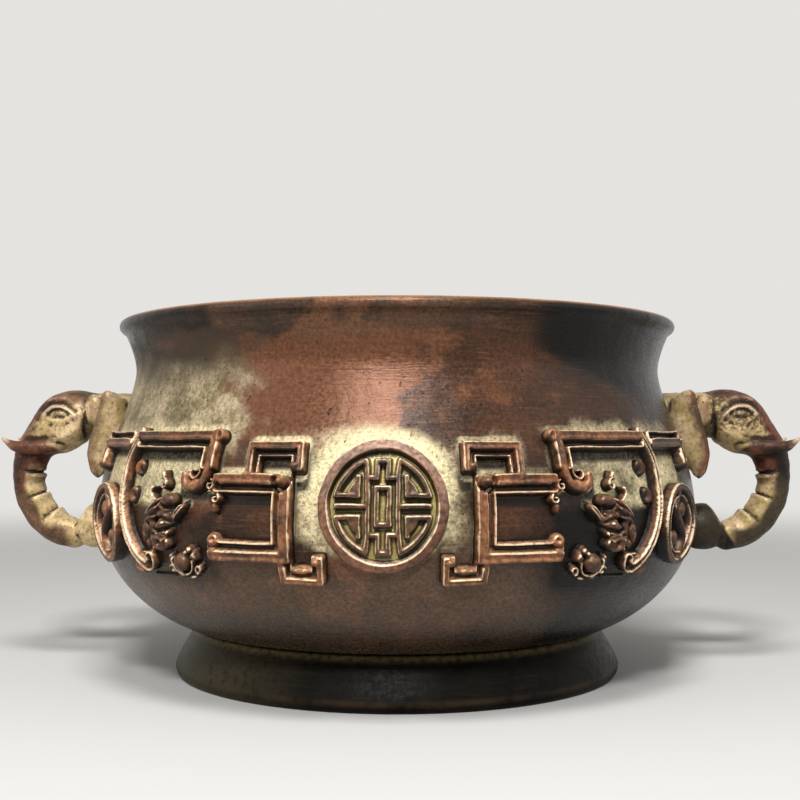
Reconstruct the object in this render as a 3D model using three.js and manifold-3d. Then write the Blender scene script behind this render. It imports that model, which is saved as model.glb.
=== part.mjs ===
// Copper incense burner: a low, round-bellied bowl on a flared foot ring, with an elephant's head and
// trunk for each handle and raised scroll ornament round the belly.
//
// Millimetres, +Z up. The origin is the centre of the foot on the table. The front roundel faces -Y
// and the handles stand out along +X and -X.
//
// Bowl and foot ring are two castings brazed at a flat land. Each handle is one casting that seats on
// the wall and is held by two rivets with their heads inside the bowl. Each ornament is a casting of its
// own that follows the curve of the wall and is brazed to it.

import * as THREE from "three";
import { mergeVertices } from "three/addons/utils/BufferGeometryUtils.js";
import Module from "manifold-3d";

const wasm = await Module();
wasm.setup();

// Gap that brazed and seated faces keep.
const clearance = 0.3;

// Bowl: heights are stacked from the table up, radii are to the outer face.
const footHeight = 10.2;
const bellyRise = 26.1;
const neckRise = 30.5;
const lipRise = 10.6;
const jointRadius = 45.4;
const bellyRadius = 66.5;
const neckRadius = 58.5;
const lipRadius = 62.2;
const lipWidth = 4;
const lipDepth = 2.4;
const wallThickness = 3.4;
const floorThickness = 3.6;
const underbellyEase = 1.065;
const bowlFacets = 36;

// Foot ring
const footRadius = 50;
const footToe = 1.9;
const footBevel = 1;
const footWall = 4.6;
const footShoulder = 2.4;
const landWidth = 6.3;
const spigotDepth = 1.5;
const flareBend = 1.25;

// Ornament: the band's centre line lies above the belly, and heights are above the wall.
const bandRise = 3.7;
const reliefHeight = 2.2;
const reliefStep = 8;
const hookHeight = 2.1;
const knobHeight = 2.5;
const backingThickness = 0.6;
const roundelRadius = 11.4;
const roundelWidth = 2.3;
const fretRadius = 8.5;
const fretBar = 0.95;
const fretHeight = 1.9;
const fretStep = 0.06;
const sideRoundelRadius = 7.8;
const sideRoundelWidth = 2.8;
const sideRoundelAcross = 67.2;
const sideRoundelDrop = 4.8;
// One unit of the drawn pattern, as a share of the way round to the side roundel.
const unitShare = 0.01488;

// Handles: reach is outwards from the wall at the head's height, rise is up from the belly's height.
const headRise = 20.9;
const headReach = 13.9;
const headHeight = 13;
const headWidth = 13.6;
const trunkReach = 24.9;
const trunkThickness = 7.4;
const earLength = 19.8;
const earWidth = 10.4;
const earThickness = 3.2;
const earFlare = 38;
const tuskLength = 14;
const tuskRadius = 1.6;
const eyeRadius = 1.5;

// Rivets
const rivetRadius = 2;
const rivetHeadRadius = 3.4;
const rivetHeadHeight = 1.6;
const rivetDish = 0.7;
const rivetDepth = 4.5;
const upperRivetRise = 20;
const lowerRivetDrop = 4.6;

const bellyHeight = footHeight + bellyRise;
const neckHeight = bellyHeight + neckRise;
const rimHeight = neckHeight + lipRise;
const bandHeight = bellyHeight + bandRise;
const landHeight = footHeight + clearance;
const underbelly = {
  height: bellyRise * underbellyEase,
  depth: (bellyRadius - jointRadius) / (1 - Math.sqrt(1 - 1 / underbellyEase ** 2)),
};
const handleRoot = wallRadius(bellyHeight + headRise);
const unit = sideRoundelAcross * unitShare;
const barWidths = {
  frame: 3.8 * unit,
  rail: 3.6 * unit,
  upperHook: 2.9 * unit,
  lowerHook: 2.7 * unit,
  curl: 2.7 * unit,
  sweep: 1.8 * unit,
};

function material(color, roughness, metalness) {
  return new THREE.MeshStandardMaterial({ color, roughness, metalness });
}

const finishes = {
  bowl: material(0x5b2f20, 0.42, 0.6),
  foot: material(0x2f2a20, 0.55, 0.5),
  handle: material(0x8b6f49, 0.6, 0.4),
  rivet: material(0x6d4027, 0.5, 0.6),
  ornament: material(0x63432a, 0.45, 0.6),
  fret: material(0x7d6a35, 0.55, 0.5),
};

// The outer face of the bare bowl: lip, hollow neck, full belly and an elliptical underbelly.
function wallRadius(height) {
  if (height > neckHeight) {
    const up = Math.min(1, (height - neckHeight) / lipRise);
    return neckRadius + (lipRadius - neckRadius) * up ** 1.5;
  }
  if (height > bellyHeight) {
    const down = (neckHeight - height) / neckRise;
    return neckRadius + (bellyRadius - neckRadius) * Math.sin((Math.PI * down) / 2) ** 1.5;
  }
  const drop = Math.min(1, (bellyHeight - height) / underbelly.height);
  return bellyRadius - underbelly.depth * (1 - Math.sqrt(1 - drop * drop));
}

// The wall's outward direction at a height, as x = out and y = up.
function wallNormal(height) {
  const step = 0.05;
  const slope = (wallRadius(height + step) - wallRadius(height - step)) / (2 * step);
  return new THREE.Vector2(1, -slope).normalize();
}

// A point of the wall's section, lifted off the face or, when negative, sunk into it.
function offWall(height, lift) {
  return new THREE.Vector2(wallRadius(height), height).addScaledVector(wallNormal(height), lift);
}

// A point over the belly: across is the arc from the front centre line, up is from the band's centre.
function onBelly(across, up, lift) {
  const angle = across / bellyRadius;
  const section = offWall(bandHeight + up, lift);
  return new THREE.Vector3(section.x * Math.sin(angle), -section.x * Math.cos(angle), section.y);
}

// A closed geometry as a solid that can be joined and cut, turned to face out.
function solid(geometry) {
  const bare = geometry.index ? geometry.toNonIndexed() : geometry.clone();
  bare.deleteAttribute("normal");
  bare.deleteAttribute("uv");
  const merged = mergeVertices(bare, 1e-3);
  const index = merged.index.array;
  const corners = [];
  for (let i = 0; i < index.length; i += 3) {
    const [a, b, c] = index.slice(i, i + 3);
    if (a !== b && b !== c && c !== a) corners.push(a, b, c);
  }
  const make = (triangles) =>
    new wasm.Manifold(
      new wasm.Mesh({
        numProp: 3,
        vertProperties: merged.attributes.position.array,
        triVerts: new Uint32Array(triangles),
      }),
    );
  const made = make(corners);
  return made.volume() > 0 ? made : make(corners.reverse());
}

function join(geometries) {
  return geometries.map(solid).reduce((all, piece) => all.add(piece));
}

function cut(body, tools) {
  return tools.map(solid).reduce((left, tool) => left.subtract(tool), body);
}

function geometryOf(body) {
  const mesh = body.getMesh();
  const geometry = new THREE.BufferGeometry();
  geometry.setAttribute("position", new THREE.BufferAttribute(new Float32Array(mesh.vertProperties), 3));
  geometry.setIndex(new THREE.BufferAttribute(new Uint32Array(mesh.triVerts), 1));
  geometry.computeVertexNormals();
  return geometry;
}

// The triangles of an end cap, in the order of the ring's points: of the flat outline where one is
// given, or else a fan.
function capFaces(size, outline) {
  if (!outline) return Array.from({ length: size - 2 }, (_, i) => [0, i + 1, i + 2]);
  const faces = THREE.ShapeUtils.triangulateShape(outline, []);
  return THREE.ShapeUtils.isClockWise(outline) ? faces.map((face) => face.reverse()) : faces;
}

// A closed body through rings with equal numbers of points, capped at the ends or closed on itself.
function loft(rings, outline = null, closed = false) {
  const size = rings[0].length;
  const corners = [];
  const spans = closed ? rings.length : rings.length - 1;
  for (let i = 0; i < spans; i++) {
    const here = i * size;
    const next = ((i + 1) % rings.length) * size;
    for (let j = 0; j < size; j++) {
      const k = (j + 1) % size;
      corners.push(here + j, next + j, next + k, here + j, next + k, here + k);
    }
  }
  if (!closed) {
    const far = (rings.length - 1) * size;
    for (const face of capFaces(size, outline)) {
      corners.push(...face, ...face.map((corner) => far + corner).reverse());
    }
  }
  return new THREE.BufferGeometry().setFromPoints(rings.flat()).setIndex(corners);
}

// A body of revolution about +Z from points with x = radius and y = height.
function turned(outline, facets = bowlFacets) {
  return new THREE.LatheGeometry(outline, facets).rotateX(Math.PI / 2);
}

function steps(from, to, count) {
  return Array.from({ length: count + 1 }, (_, i) => from + ((to - from) * i) / count);
}

// Heights at which a face of the bowl's section is drawn, from the foot to below the lip, closer
// together where it bends more.
function wallHeights(underSteps = 5, waistSteps = 6) {
  const lowest = Math.asin(1 / underbellyEase);
  const under = steps(lowest, 0, underSteps).map((a) => bellyHeight - underbelly.height * Math.sin(a));
  const waist = steps(bellyHeight, neckHeight, waistSteps).slice(1);
  const lip = steps(neckHeight, rimHeight - lipDepth, 2).slice(1);
  return [...under, ...waist, ...lip];
}

function bowlSection() {
  const outside = wallHeights().slice(1).map((height) => offWall(height, 0));
  const heights = wallHeights(5, 4);
  const inside = heights.slice(1).map((height) => offWall(height, -wallThickness));
  const floor = footHeight + floorThickness;
  const floorEdge = offWall(heights[0], -wallThickness).x;
  const spigot = jointRadius - landWidth;
  const bead = lipDepth / 3;
  return [
    [0, landHeight - spigotDepth],
    [spigot, landHeight - spigotDepth],
    [spigot, landHeight],
    [wallRadius(landHeight), landHeight],
    ...outside.map((point) => point.toArray()),
    [lipRadius - bead / 3, rimHeight - 2 * bead],
    [lipRadius, rimHeight - bead],
    [lipRadius - bead, rimHeight],
    [lipRadius - lipWidth + bead, rimHeight],
    [lipRadius - lipWidth, rimHeight - bead],
    ...inside.reverse().map((point) => point.toArray()),
    [floorEdge, floor],
    [0, floor],
  ].map(([radius, height]) => new THREE.Vector2(radius, height));
}

// The foot ring flares to a toe with a small bevel, and its top takes the bowl's spigot.
function footSection() {
  const flare = steps(1, 0, 4).map((up) => [
    footRadius - (footRadius - jointRadius) * up ** flareBend,
    footToe + (footHeight - footToe) * up,
  ]);
  const bore = jointRadius - landWidth + clearance;
  const toeBore = footRadius - footBevel - footWall;
  const outline = [
    ...flare,
    [footRadius - footBevel, 0],
    [toeBore, 0],
    [toeBore - footBevel, footToe],
    [bore, footHeight - footShoulder],
    [bore, footHeight],
  ].map(([radius, height]) => new THREE.Vector2(radius, height));
  return [...outline, outline[0].clone()];
}

// A frame on the wall at a height on the +X side, with its y axis along the outward normal.
function seatFrame(height) {
  const seat = offWall(height, 0);
  const normal = wallNormal(height);
  const outward = new THREE.Vector3(normal.x, 0, normal.y);
  const turn = new THREE.Quaternion().setFromUnitVectors(new THREE.Vector3(0, 1, 0), outward);
  const place = new THREE.Vector3(seat.x, 0, seat.y);
  return new THREE.Matrix4().compose(place, turn, new THREE.Vector3(1, 1, 1));
}

const rivetHeights = {
  upper: bellyHeight + upperRivetRise,
  lower: bellyHeight - lowerRivetDrop,
};

// The clearance hole of a rivet, through the wall and on into the handle.
function rivetHole(height) {
  const inner = -(wallThickness + rivetHeadHeight);
  const outer = rivetDepth + 2 * clearance;
  const hole = new THREE.CylinderGeometry(
    rivetRadius + clearance,
    rivetRadius + clearance,
    outer - inner,
    12,
  );
  return hole.translate(0, (inner + outer) / 2, 0).applyMatrix4(seatFrame(height));
}

// A rivet: the head lies inside the bowl, dished underneath to clear the round wall.
function rivet(height) {
  const under = -(wallThickness + clearance);
  const dome = steps(0, Math.PI / 2, 3).map((angle) => [
    rivetHeadRadius * Math.cos(angle),
    under - rivetDish - rivetHeadHeight * Math.sin(angle),
  ]);
  const outline = [
    [0, rivetDepth + clearance],
    [rivetRadius, rivetDepth + clearance],
    [rivetRadius, under],
    ...dome,
  ].map(([radius, along]) => new THREE.Vector2(Math.max(radius, 0), along));
  outline[outline.length - 1].x = 0;
  return new THREE.LatheGeometry(outline, 12).applyMatrix4(seatFrame(height));
}

// Section of a double ridge: a broad bead on the outer side, a groove and a narrow bead inside it.
function doubleBead(width, height = reliefHeight) {
  return [
    [-0.5, 0],
    [-0.4, 1],
    [-0.06, 0.95],
    [0.1, 0.35],
    [0.34, 0.75],
    [0.5, 0],
  ].map(([x, y]) => new THREE.Vector2(x * width, y * height));
}

function bead(width, height = reliefHeight) {
  return [
    [-0.5, 0],
    [-0.4, 0.8],
    [0, 1],
    [0.4, 0.8],
    [0.5, 0],
  ].map(([x, y]) => new THREE.Vector2(x * width, y * height));
}

function bar(width, height) {
  return [
    [-0.5, 0],
    [-0.42, 1],
    [0.42, 1],
    [0.5, 0],
  ].map(([x, y]) => new THREE.Vector2(x * width, y * height));
}

// A route over the belly with a point at least every step, so that its ridge follows the wall.
function route(points, step = reliefStep) {
  const stations = [];
  points.slice(0, -1).forEach((from, i) => {
    const to = points[i + 1];
    const count = Math.ceil(from.distanceTo(to) / step);
    steps(0, 1, count)
      .slice(0, -1)
      .forEach((part) => stations.push(from.clone().lerp(to, part)));
  });
  return [...stations, points.at(-1).clone()];
}

function corners(...points) {
  return points.map(([across, up]) => new THREE.Vector2(across, up));
}

// Corners of the drawn pattern, given in its units.
function drawn(...points) {
  return corners(...points).map((point) => point.multiplyScalar(unit));
}

function spline(count, points) {
  return new THREE.SplineCurve(points).getPoints(count);
}

// The widening direction at each station: across the route, mitred where it turns.
function mitres(stations, closed) {
  const last = stations.length - 1;
  const side = (from, to) => new THREE.Vector2(from.y - to.y, to.x - from.x).normalize();
  return stations.map((point, i) => {
    const before = i > 0 ? stations[i - 1] : closed && stations[last];
    const after = i < last ? stations[i + 1] : closed && stations[0];
    const into = before ? side(before, point) : side(point, after);
    const out = after ? side(point, after) : into;
    const middle = into.clone().add(out).normalize();
    return middle.divideScalar(Math.max(0.5, middle.dot(out)));
  });
}

// A ridge with a constant section along a route over the belly. The section's x runs to the left of
// the route and its y stands off the wall.
function ridge(stations, section, { side = 1, base = clearance, closed = false } = {}) {
  const widths = mitres(stations, closed);
  const rings = stations.map((point, i) =>
    section.map(({ x, y }) => {
      const across = point.x + widths[i].x * x;
      const up = point.y + widths[i].y * x;
      return onBelly(side * across, up, base + y);
    }),
  );
  return loft(rings, section, closed);
}

// A rounded boss of the pattern, placed and sized in its units, with a flat underside.
function boss(across, up, reach, rise, height, side) {
  const facets = 6;
  const ring = (share, lift) =>
    Array.from({ length: facets }, (_, i) => {
      const angle = (2 * Math.PI * i) / facets;
      const x = (across + share * reach * Math.cos(angle)) * unit;
      const y = (up + share * rise * Math.sin(angle)) * unit;
      return onBelly(side * x, y, clearance + lift);
    });
  return loft([ring(1, 0), ring(0.9, height * 0.6), ring(0.4, height)]);
}

function circle(across, up, radius, count) {
  return Array.from({ length: count }, (_, i) => {
    const angle = (2 * Math.PI * i) / count;
    return new THREE.Vector2(across + radius * Math.cos(angle), up + radius * Math.sin(angle));
  });
}

// A thin round plate that follows the belly.
function backing(across, up, radius, facets = 12) {
  const ring = (share, lift) =>
    circle(across, up, radius * share, facets).map((point) => onBelly(point.x, point.y, lift));
  const top = clearance + backingThickness;
  return loft([ring(0.4, clearance), ring(1, clearance), ring(1, top), ring(0.4, top)]);
}

function roundelRing() {
  const middle = roundelRadius - roundelWidth / 2;
  return solid(ridge(circle(0, 0, middle, 24), bead(roundelWidth, reliefHeight + 0.2), { closed: true }));
}

// Fretwork of straight and curved bars on a thin round plate, alike on both sides of both centre lines.
// Bars that cross differ in height by a step.
function roundelFret() {
  const edge = 1 - fretBar / 2 / fretRadius;
  const rim = steps(15, 66, 2).map((angle) => {
    const turn = THREE.MathUtils.degToRad(angle);
    return [edge * Math.cos(turn), edge * Math.sin(turn)];
  });
  // Strokes in shares of the plate's radius: some are mirrored once, the others in every quarter.
  const uprights = [[[0.33, -0.83], [0.33, 0.83]]];
  const arms = [[[0.33, 0], [0.94, 0]]];
  const quarters = [
    [[0.33, 0.57], [0.12, 0.57], [0.12, 0.9]],
    [[0.47, 0.57], [0.47, 0.23], ...rim],
  ];
  const base = clearance + backingThickness / 2;
  const draw = (strokes, flipX, flipY, height) =>
    strokes.map((points) => {
      const scaled = points.map(([x, y]) => [flipX * x * fretRadius, flipY * y * fretRadius]);
      return ridge(route(corners(...scaled)), bar(fretBar, height), { base });
    });
  const bars = [1, -1].flatMap((flipX) => [
    ...draw(uprights, flipX, 1, fretHeight),
    ...draw(arms, flipX, 1, fretHeight - fretStep),
    ...draw(quarters, flipX, 1, fretHeight - 2 * fretStep),
    ...draw(quarters, flipX, -1, fretHeight - 2 * fretStep),
  ]);
  const ring = [[0.11, -0.34], [0.11, 0.34], [-0.11, 0.34], [-0.11, -0.34]];
  const loop = corners(...ring.map(([x, y]) => [x * fretRadius, y * fretRadius]));
  bars.push(ridge(loop, bar(fretBar, fretHeight), { base, closed: true }));
  return join([backing(0, 0, fretRadius), ...bars]);
}

// Square scroll beside the roundel: an open frame with a hook above it and another below.
function squareScroll(side) {
  const frame = drawn([31.4, 3.6], [17.9, 3.6], [17.9, -7.9], [32.4, -7.9]);
  const upperHook = drawn([24, 3.9], [24, 9.6], [15.3, 9.6], [15.3, 5.8]);
  const lowerHook = drawn([11.4, -8.2], [11.4, -12], [17.3, -12], [17.3, -9]);
  return join([
    ridge(route(frame), doubleBead(barWidths.frame), { side }),
    ridge(route(upperHook), doubleBead(barWidths.upperHook, hookHeight), { side }),
    ridge(route(lowerHook), doubleBead(barWidths.lowerHook, hookHeight), { side }),
    boss(18.3, 4.1, 1.7, 1.5, knobHeight, side),
    boss(31.2, 2.6, 1.4, 2.4, knobHeight, side),
  ]);
}

// Rail scroll: a rail under the neck that turns down at its inner end and curls back.
function railScroll(side) {
  const rail = drawn([56.2, 11.2], [33.8, 11.2], [33.8, 6.2]);
  const curl = spline(5, drawn([33.8, 8.5], [33.9, 5.8], [35.2, 3.9], [37.4, 3.5], [38.9, 4.6]));
  return join([
    ridge(route(rail), doubleBead(barWidths.rail), { side }),
    ridge(curl, doubleBead(barWidths.curl, hookHeight), { side }),
    boss(33.9, 12, 1.9, 1.5, knobHeight, side),
    boss(38.8, 4.8, 1.4, 1.3, knobHeight, side),
  ]);
}

// Outer frame: a short rail and leg towards the handle, and a long bar that sweeps down and in.
function outerFrame(side) {
  const rail = drawn([73.4, 5.8], [73.8, 11.2], [58.6, 11.2]);
  const bend = drawn([58, 12.8], [58.4, 6], [58, 0], [56.4, -5.6], [53.6, -10], [50.2, -11.2]);
  const sweep = spline(7, bend);
  return join([
    ridge(route(rail), doubleBead(barWidths.rail), { side }),
    ridge(sweep, bead(barWidths.sweep, hookHeight), { side }),
    boss(73.2, 5.6, 1.7, 1.4, knobHeight, side),
  ]);
}

// A crouching beast seen from the front, with its mane, plume, muzzle, chest and paws.
function beast(side) {
  const lumps = [
    [43.8, 0.7, 3, 2.8, 3],
    [45.3, 3.6, 1.7, 1.8, 2.5],
    [39.9, -1.1, 2.6, 1.5, 2.4],
    [48.5, -1.3, 3.3, 1.5, 2.3],
    [44.6, -4.8, 3, 3.6, 3.3],
    [41.2, -8.6, 3.6, 3.2, 2.2],
  ];
  const bosses = lumps.map(([across, up, reach, rise, height]) =>
    boss(across, up, reach, rise, height * unit, side),
  );
  return join(bosses);
}

// Small roundel near the handle: a double ring round an S-shaped scroll.
function sideRoundel(side) {
  const across = sideRoundelAcross;
  const up = -sideRoundelDrop;
  const middle = sideRoundelRadius - sideRoundelWidth / 2;
  const swell = 2.2 * unit;
  const rise = 3 * unit;
  const scroll = spline(
    6,
    corners(
      [across, up + middle],
      [across - swell, up + rise],
      [across, up],
      [across + swell, up - rise],
      [across, up - middle],
    ),
  );
  return join([
    ridge(circle(across, up, middle, 12), doubleBead(sideRoundelWidth), { side, closed: true }),
    ridge(scroll, bead(barWidths.sweep, hookHeight), { side }),
  ]);
}

// Centre line of head and trunk from inside the wall, over the head, down and back to the wall.
// Each row: reach, rise, half height, half width, and how far the underside stands out in a knuckle.
function handleRows() {
  const high = headHeight / 2;
  const wide = headWidth / 2;
  const trunk = trunkThickness / 2;
  const tail = -lowerRivetDrop;
  const seat = bellyRadius - handleRoot;
  return [
    [headReach - 19, headRise - 0.9, high * 0.84, wide * 0.74, 0],
    [headReach - 10.5, headRise - 0.5, high * 0.88, wide * 0.76, 0],
    [headReach - 4.5, headRise, high * 0.96, wide * 0.8, 0],
    [headReach - 2.2, headRise, high, wide * 0.84, 0],
    [headReach - 0.6, headRise - 0.1, high, wide, 0],
    [headReach + 2.6, headRise - 0.9, high * 0.97, wide * 0.98, 0],
    [headReach + 6, headRise - 3.2, high * 0.86, wide * 0.84, 0],
    [trunkReach - 2, headRise - 6.9, trunk * 1.24, trunk * 1.32, 0],
    [trunkReach - 0.2, headRise - 11.2, trunk * 1.1, trunk * 1.14, 0],
    [trunkReach + 0.1, headRise - 14.8, trunk, trunk, 0.7],
    [trunkReach - 0.6, headRise - 18.2, trunk, trunk, 0],
    [trunkReach - 2.6, headRise - 21.7, trunk, trunk * 0.98, 0.7],
    [trunkReach - 5.6, headRise - 24.8, trunk * 0.97, trunk * 0.96, 0],
    [trunkReach - 9.2, headRise - 26.7, trunk * 0.95, trunk * 0.94, 0.7],
    [trunkReach - 13, tail - 1.5, trunk * 0.9, trunk * 0.92, 0],
    [seat + 3, tail - 0.6, trunk * 1.12, trunk * 1.05, 0],
    [seat - 0.5, tail + 0.7, trunk * 1.4, trunk * 1.2, 0],
    [seat - 7.5, tail + 1.4, trunk * 1.4, trunk * 1.2, 0],
  ];
}

function headAndTrunk() {
  const rows = handleRows();
  const facets = 10;
  const centres = rows.map(
    ([reach, rise]) => new THREE.Vector3(handleRoot + reach, 0, bellyHeight + rise),
  );
  const curve = new THREE.CatmullRomCurve3(centres);
  const rings = rows.map(([, , high, wide, knuckle], i) => {
    const along = curve.getTangent(i / (rows.length - 1));
    const outward = new THREE.Vector3(-along.z, 0, along.x);
    return Array.from({ length: facets }, (_, j) => {
      const angle = (2 * Math.PI * j) / facets;
      const lift = Math.sin(angle);
      const inner = lift < -0.4 ? knuckle : 0;
      return centres[i]
        .clone()
        .addScaledVector(outward, lift * (high + inner))
        .add(new THREE.Vector3(0, wide * Math.cos(angle), 0));
    });
  });
  return loft(rings);
}

// An ear: a thick petal held at the back, with its rolled front rim standing off the head.
function ear(side) {
  const flare = THREE.MathUtils.degToRad(earFlare);
  const reachOut = new THREE.Vector3(Math.cos(flare), side * Math.sin(flare), 0);
  const faceOut = new THREE.Vector3(-Math.sin(flare), side * Math.cos(flare), 0);
  const top = bellyHeight + headRise + 0.42 * headHeight;
  const root = headWidth / 2;
  // Each row: share of the length from the top, reach from the head's centre, share of the width,
  // share of the thickness, and how far the petal's middle stands off the head's side.
  const rows = [
    [0, -6.2, 0.2, 0.55, -0.6],
    [0.14, -7.4, 0.74, 0.9, 0.4],
    [0.32, -8.2, 1, 1, 1.1],
    [0.52, -7.4, 1, 1, 1.6],
    [0.72, -6.3, 0.84, 0.95, 1.4],
    [0.9, -5.3, 0.56, 0.8, 0.9],
    [1, -5, 0.2, 0.5, 0.5],
  ];
  const facets = 8;
  const rings = rows.map(([drop, reach, width, thickness, off]) => {
    const centre = new THREE.Vector3(
      handleRoot + headReach + reach,
      side * (root + off),
      top - drop * earLength,
    );
    return Array.from({ length: facets }, (_, j) => {
      const angle = (2 * Math.PI * j) / facets;
      const roll = 1 + 0.35 * Math.cos(angle);
      return centre
        .clone()
        .addScaledVector(reachOut, (width * earWidth * Math.cos(angle)) / 2)
        .addScaledVector(faceOut, (thickness * earThickness * roll * Math.sin(angle)) / 2);
    });
  });
  return loft(rings);
}

// A tusk that leaves the mouth beside the trunk and turns up at its tip.
function tusk(side) {
  const start = new THREE.Vector3(
    handleRoot + headReach + 3.4,
    side * headWidth * 0.28,
    bellyHeight + headRise - 6.6,
  );
  const middle = start.clone().add(new THREE.Vector3(tuskLength * 0.55, side * 1.2, -0.9));
  const tip = start.clone().add(new THREE.Vector3(tuskLength, side * 1.5, 1.4));
  const curve = new THREE.QuadraticBezierCurve3(start, middle, tip);
  const facets = 6;
  const rings = steps(0, 1, 4).map((part) => {
    const along = curve.getTangent(part);
    const across = new THREE.Vector3(-along.y, along.x, 0).normalize();
    const over = new THREE.Vector3().crossVectors(along, across);
    const radius = tuskRadius * (1 - 0.85 * part ** 1.6);
    return Array.from({ length: facets }, (_, j) => {
      const angle = (2 * Math.PI * j) / facets;
      return curve
        .getPoint(part)
        .addScaledVector(across, radius * Math.cos(angle))
        .addScaledVector(over, radius * Math.sin(angle));
    });
  });
  return loft(rings);
}

// An eye high on the side of the head.
function eye(side) {
  const ball = new THREE.SphereGeometry(eyeRadius, 6, 5).scale(1.3, 0.8, 0.8);
  return ball.translate(
    handleRoot + headReach + 4.7,
    side * headWidth * 0.37,
    bellyHeight + headRise + 1,
  );
}

// The filled outside of the bowl, grown by the clearance, that the handle's roots are cut by.
function wallCutter() {
  const grown = wallHeights().map((height) => offWall(height, clearance));
  const top = new THREE.Vector2(grown.at(-1).x + clearance, rimHeight + clearance);
  const axis = [new THREE.Vector2(0, grown[0].y), new THREE.Vector2(0, top.y)];
  return turned([axis[0], ...grown, top, axis[1]]);
}

function elephantHandle() {
  const casting = join([
    headAndTrunk(),
    ...[1, -1].flatMap((side) => [ear(side), tusk(side), eye(side)]),
  ]);
  return cut(casting, [wallCutter(), rivetHole(rivetHeights.upper), rivetHole(rivetHeights.lower)]);
}

function bowl() {
  const holes = Object.values(rivetHeights).flatMap((height) => [
    rivetHole(height),
    rivetHole(height).rotateZ(Math.PI),
  ]);
  return cut(solid(turned(bowlSection())), holes);
}

const burner = new THREE.Group();

function add(name, body, finish, turn = 0) {
  const mesh = new THREE.Mesh(geometryOf(body), finish);
  mesh.name = name;
  mesh.rotation.z = turn;
  burner.add(mesh);
}

add("bowl", bowl(), finishes.bowl);
add("foot_ring", solid(turned(footSection())), finishes.foot);

for (const [side, turn] of [["right", 0], ["left", Math.PI]]) {
  add("elephant_handle_" + side, elephantHandle(), finishes.handle, turn);
  for (const [place, height] of Object.entries(rivetHeights)) {
    add(place + "_rivet_" + side, solid(rivet(height)), finishes.rivet, turn);
  }
}

for (const [face, turn] of [["front", 0], ["back", Math.PI]]) {
  add(face + "_roundel_ring", roundelRing(), finishes.ornament, turn);
  add(face + "_roundel_fret", roundelFret(), finishes.fret, turn);
  for (const side of [1, -1]) {
    const corner = face + (side * Math.cos(turn) > 0 ? "_right" : "_left");
    add("square_scroll_" + corner, squareScroll(side), finishes.ornament, turn);
    add("rail_scroll_" + corner, railScroll(side), finishes.ornament, turn);
    add("outer_frame_" + corner, outerFrame(side), finishes.ornament, turn);
    add("beast_" + corner, beast(side), finishes.ornament, turn);
    add("side_roundel_" + corner, sideRoundel(side), finishes.ornament, turn);
  }
}

export default burner;
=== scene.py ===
# Copper incense burner: the cast, patinated surface of a low bowl with elephant handles and relief ornament.
#
# Shapes are worked out in millimetres, in the frame of the CAD, and turned into metres when a piece is made.
# The bowl and the foot are turned from the CAD's profile. Each ornament is a height over the bowl's wall, and
# each handle is carved as a distance field. Pieces carry named weights, from 0 to 1, that their finish uses.
# On the bowl: film for dust, near for the pale dust beside the ornament, dusk where the film darkens upwards,
# warm for red metal, grey_sheen for greyed metal with a painted sheen low on the belly, and dark for black
# patina and for painted shade on the right, under the belly and low between the scrolls. On the ornament:
# upper for a painted highlight on faces that look up, under for painted shade on faces that look down, and
# lift for the height over the wall. On the handles: brown, with a little painted shade on the shaded side,
# spotted, and black_and_shade for black and for painted shade. On all of them: recess_shade for painted shade
# in recesses and painted shadow below bars, and worn_and_glint for bright edges, partly wear and partly a
# painted highlight.

import math
from types import SimpleNamespace

import bpy
import numpy as np
import openvdb
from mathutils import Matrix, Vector


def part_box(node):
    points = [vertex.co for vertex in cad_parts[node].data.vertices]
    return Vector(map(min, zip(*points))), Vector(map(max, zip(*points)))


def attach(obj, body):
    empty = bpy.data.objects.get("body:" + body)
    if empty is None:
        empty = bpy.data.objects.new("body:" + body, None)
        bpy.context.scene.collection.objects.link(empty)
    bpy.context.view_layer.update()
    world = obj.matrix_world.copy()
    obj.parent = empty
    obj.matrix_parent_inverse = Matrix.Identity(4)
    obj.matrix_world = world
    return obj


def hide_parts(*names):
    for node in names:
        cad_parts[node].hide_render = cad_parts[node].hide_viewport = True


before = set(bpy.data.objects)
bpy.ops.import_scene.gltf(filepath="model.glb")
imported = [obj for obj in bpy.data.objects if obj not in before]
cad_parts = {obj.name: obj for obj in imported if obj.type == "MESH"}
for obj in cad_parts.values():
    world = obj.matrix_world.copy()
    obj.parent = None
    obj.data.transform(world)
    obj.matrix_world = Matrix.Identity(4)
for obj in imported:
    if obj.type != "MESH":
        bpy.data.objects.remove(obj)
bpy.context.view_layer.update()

MM = 0.001


def top_corner(node):
    return np.array(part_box(node)[1]) / MM


# Bowl and foot, as in the CAD: heights above the table and outer radii.
RIM_HEIGHT = top_corner("bowl")[2]
BELLY_RADIUS = top_corner("bowl")[0]
FOOT_HEIGHT = top_corner("foot_ring")[2]
FOOT_RADIUS = top_corner("foot_ring")[0]
BELLY_HEIGHT = 36.3
BELLY_RISE = 26.1
NECK_HEIGHT = 66.8
NECK_RADIUS = 58.5
LIP_RADIUS = 62.2
LIP_WIDTH = 4
LIP_DEPTH = 2.4
LIP_ROUND = 1.25
JOINT_RADIUS = 45.4
WALL = 3.4
CLEARANCE = 0.3
FLOOR_HEIGHT = 13.8
UNDER_HEIGHT = 27.8
LAND_HEIGHT = FOOT_HEIGHT + CLEARANCE
UNDER_DEPTH = (BELLY_RADIUS - JOINT_RADIUS) / (1 - math.sqrt(1 - (BELLY_RISE / UNDER_HEIGHT) ** 2))
SPIGOT_DEPTH = 1.5
TOE_HEIGHT = 1.9
TOE_BEVEL = 1
FOOT_WALL = 4.6
BORE_RADIUS = 39.4

# The wall's curve is drawn in steps and eased over a number of them. A slope is taken over twice SLOPE_STEP.
WALL_STEP = 0.1
EASE_STEPS = 30
EASE_SIZE = 14
SLOPE_STEP = 0.05

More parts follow.
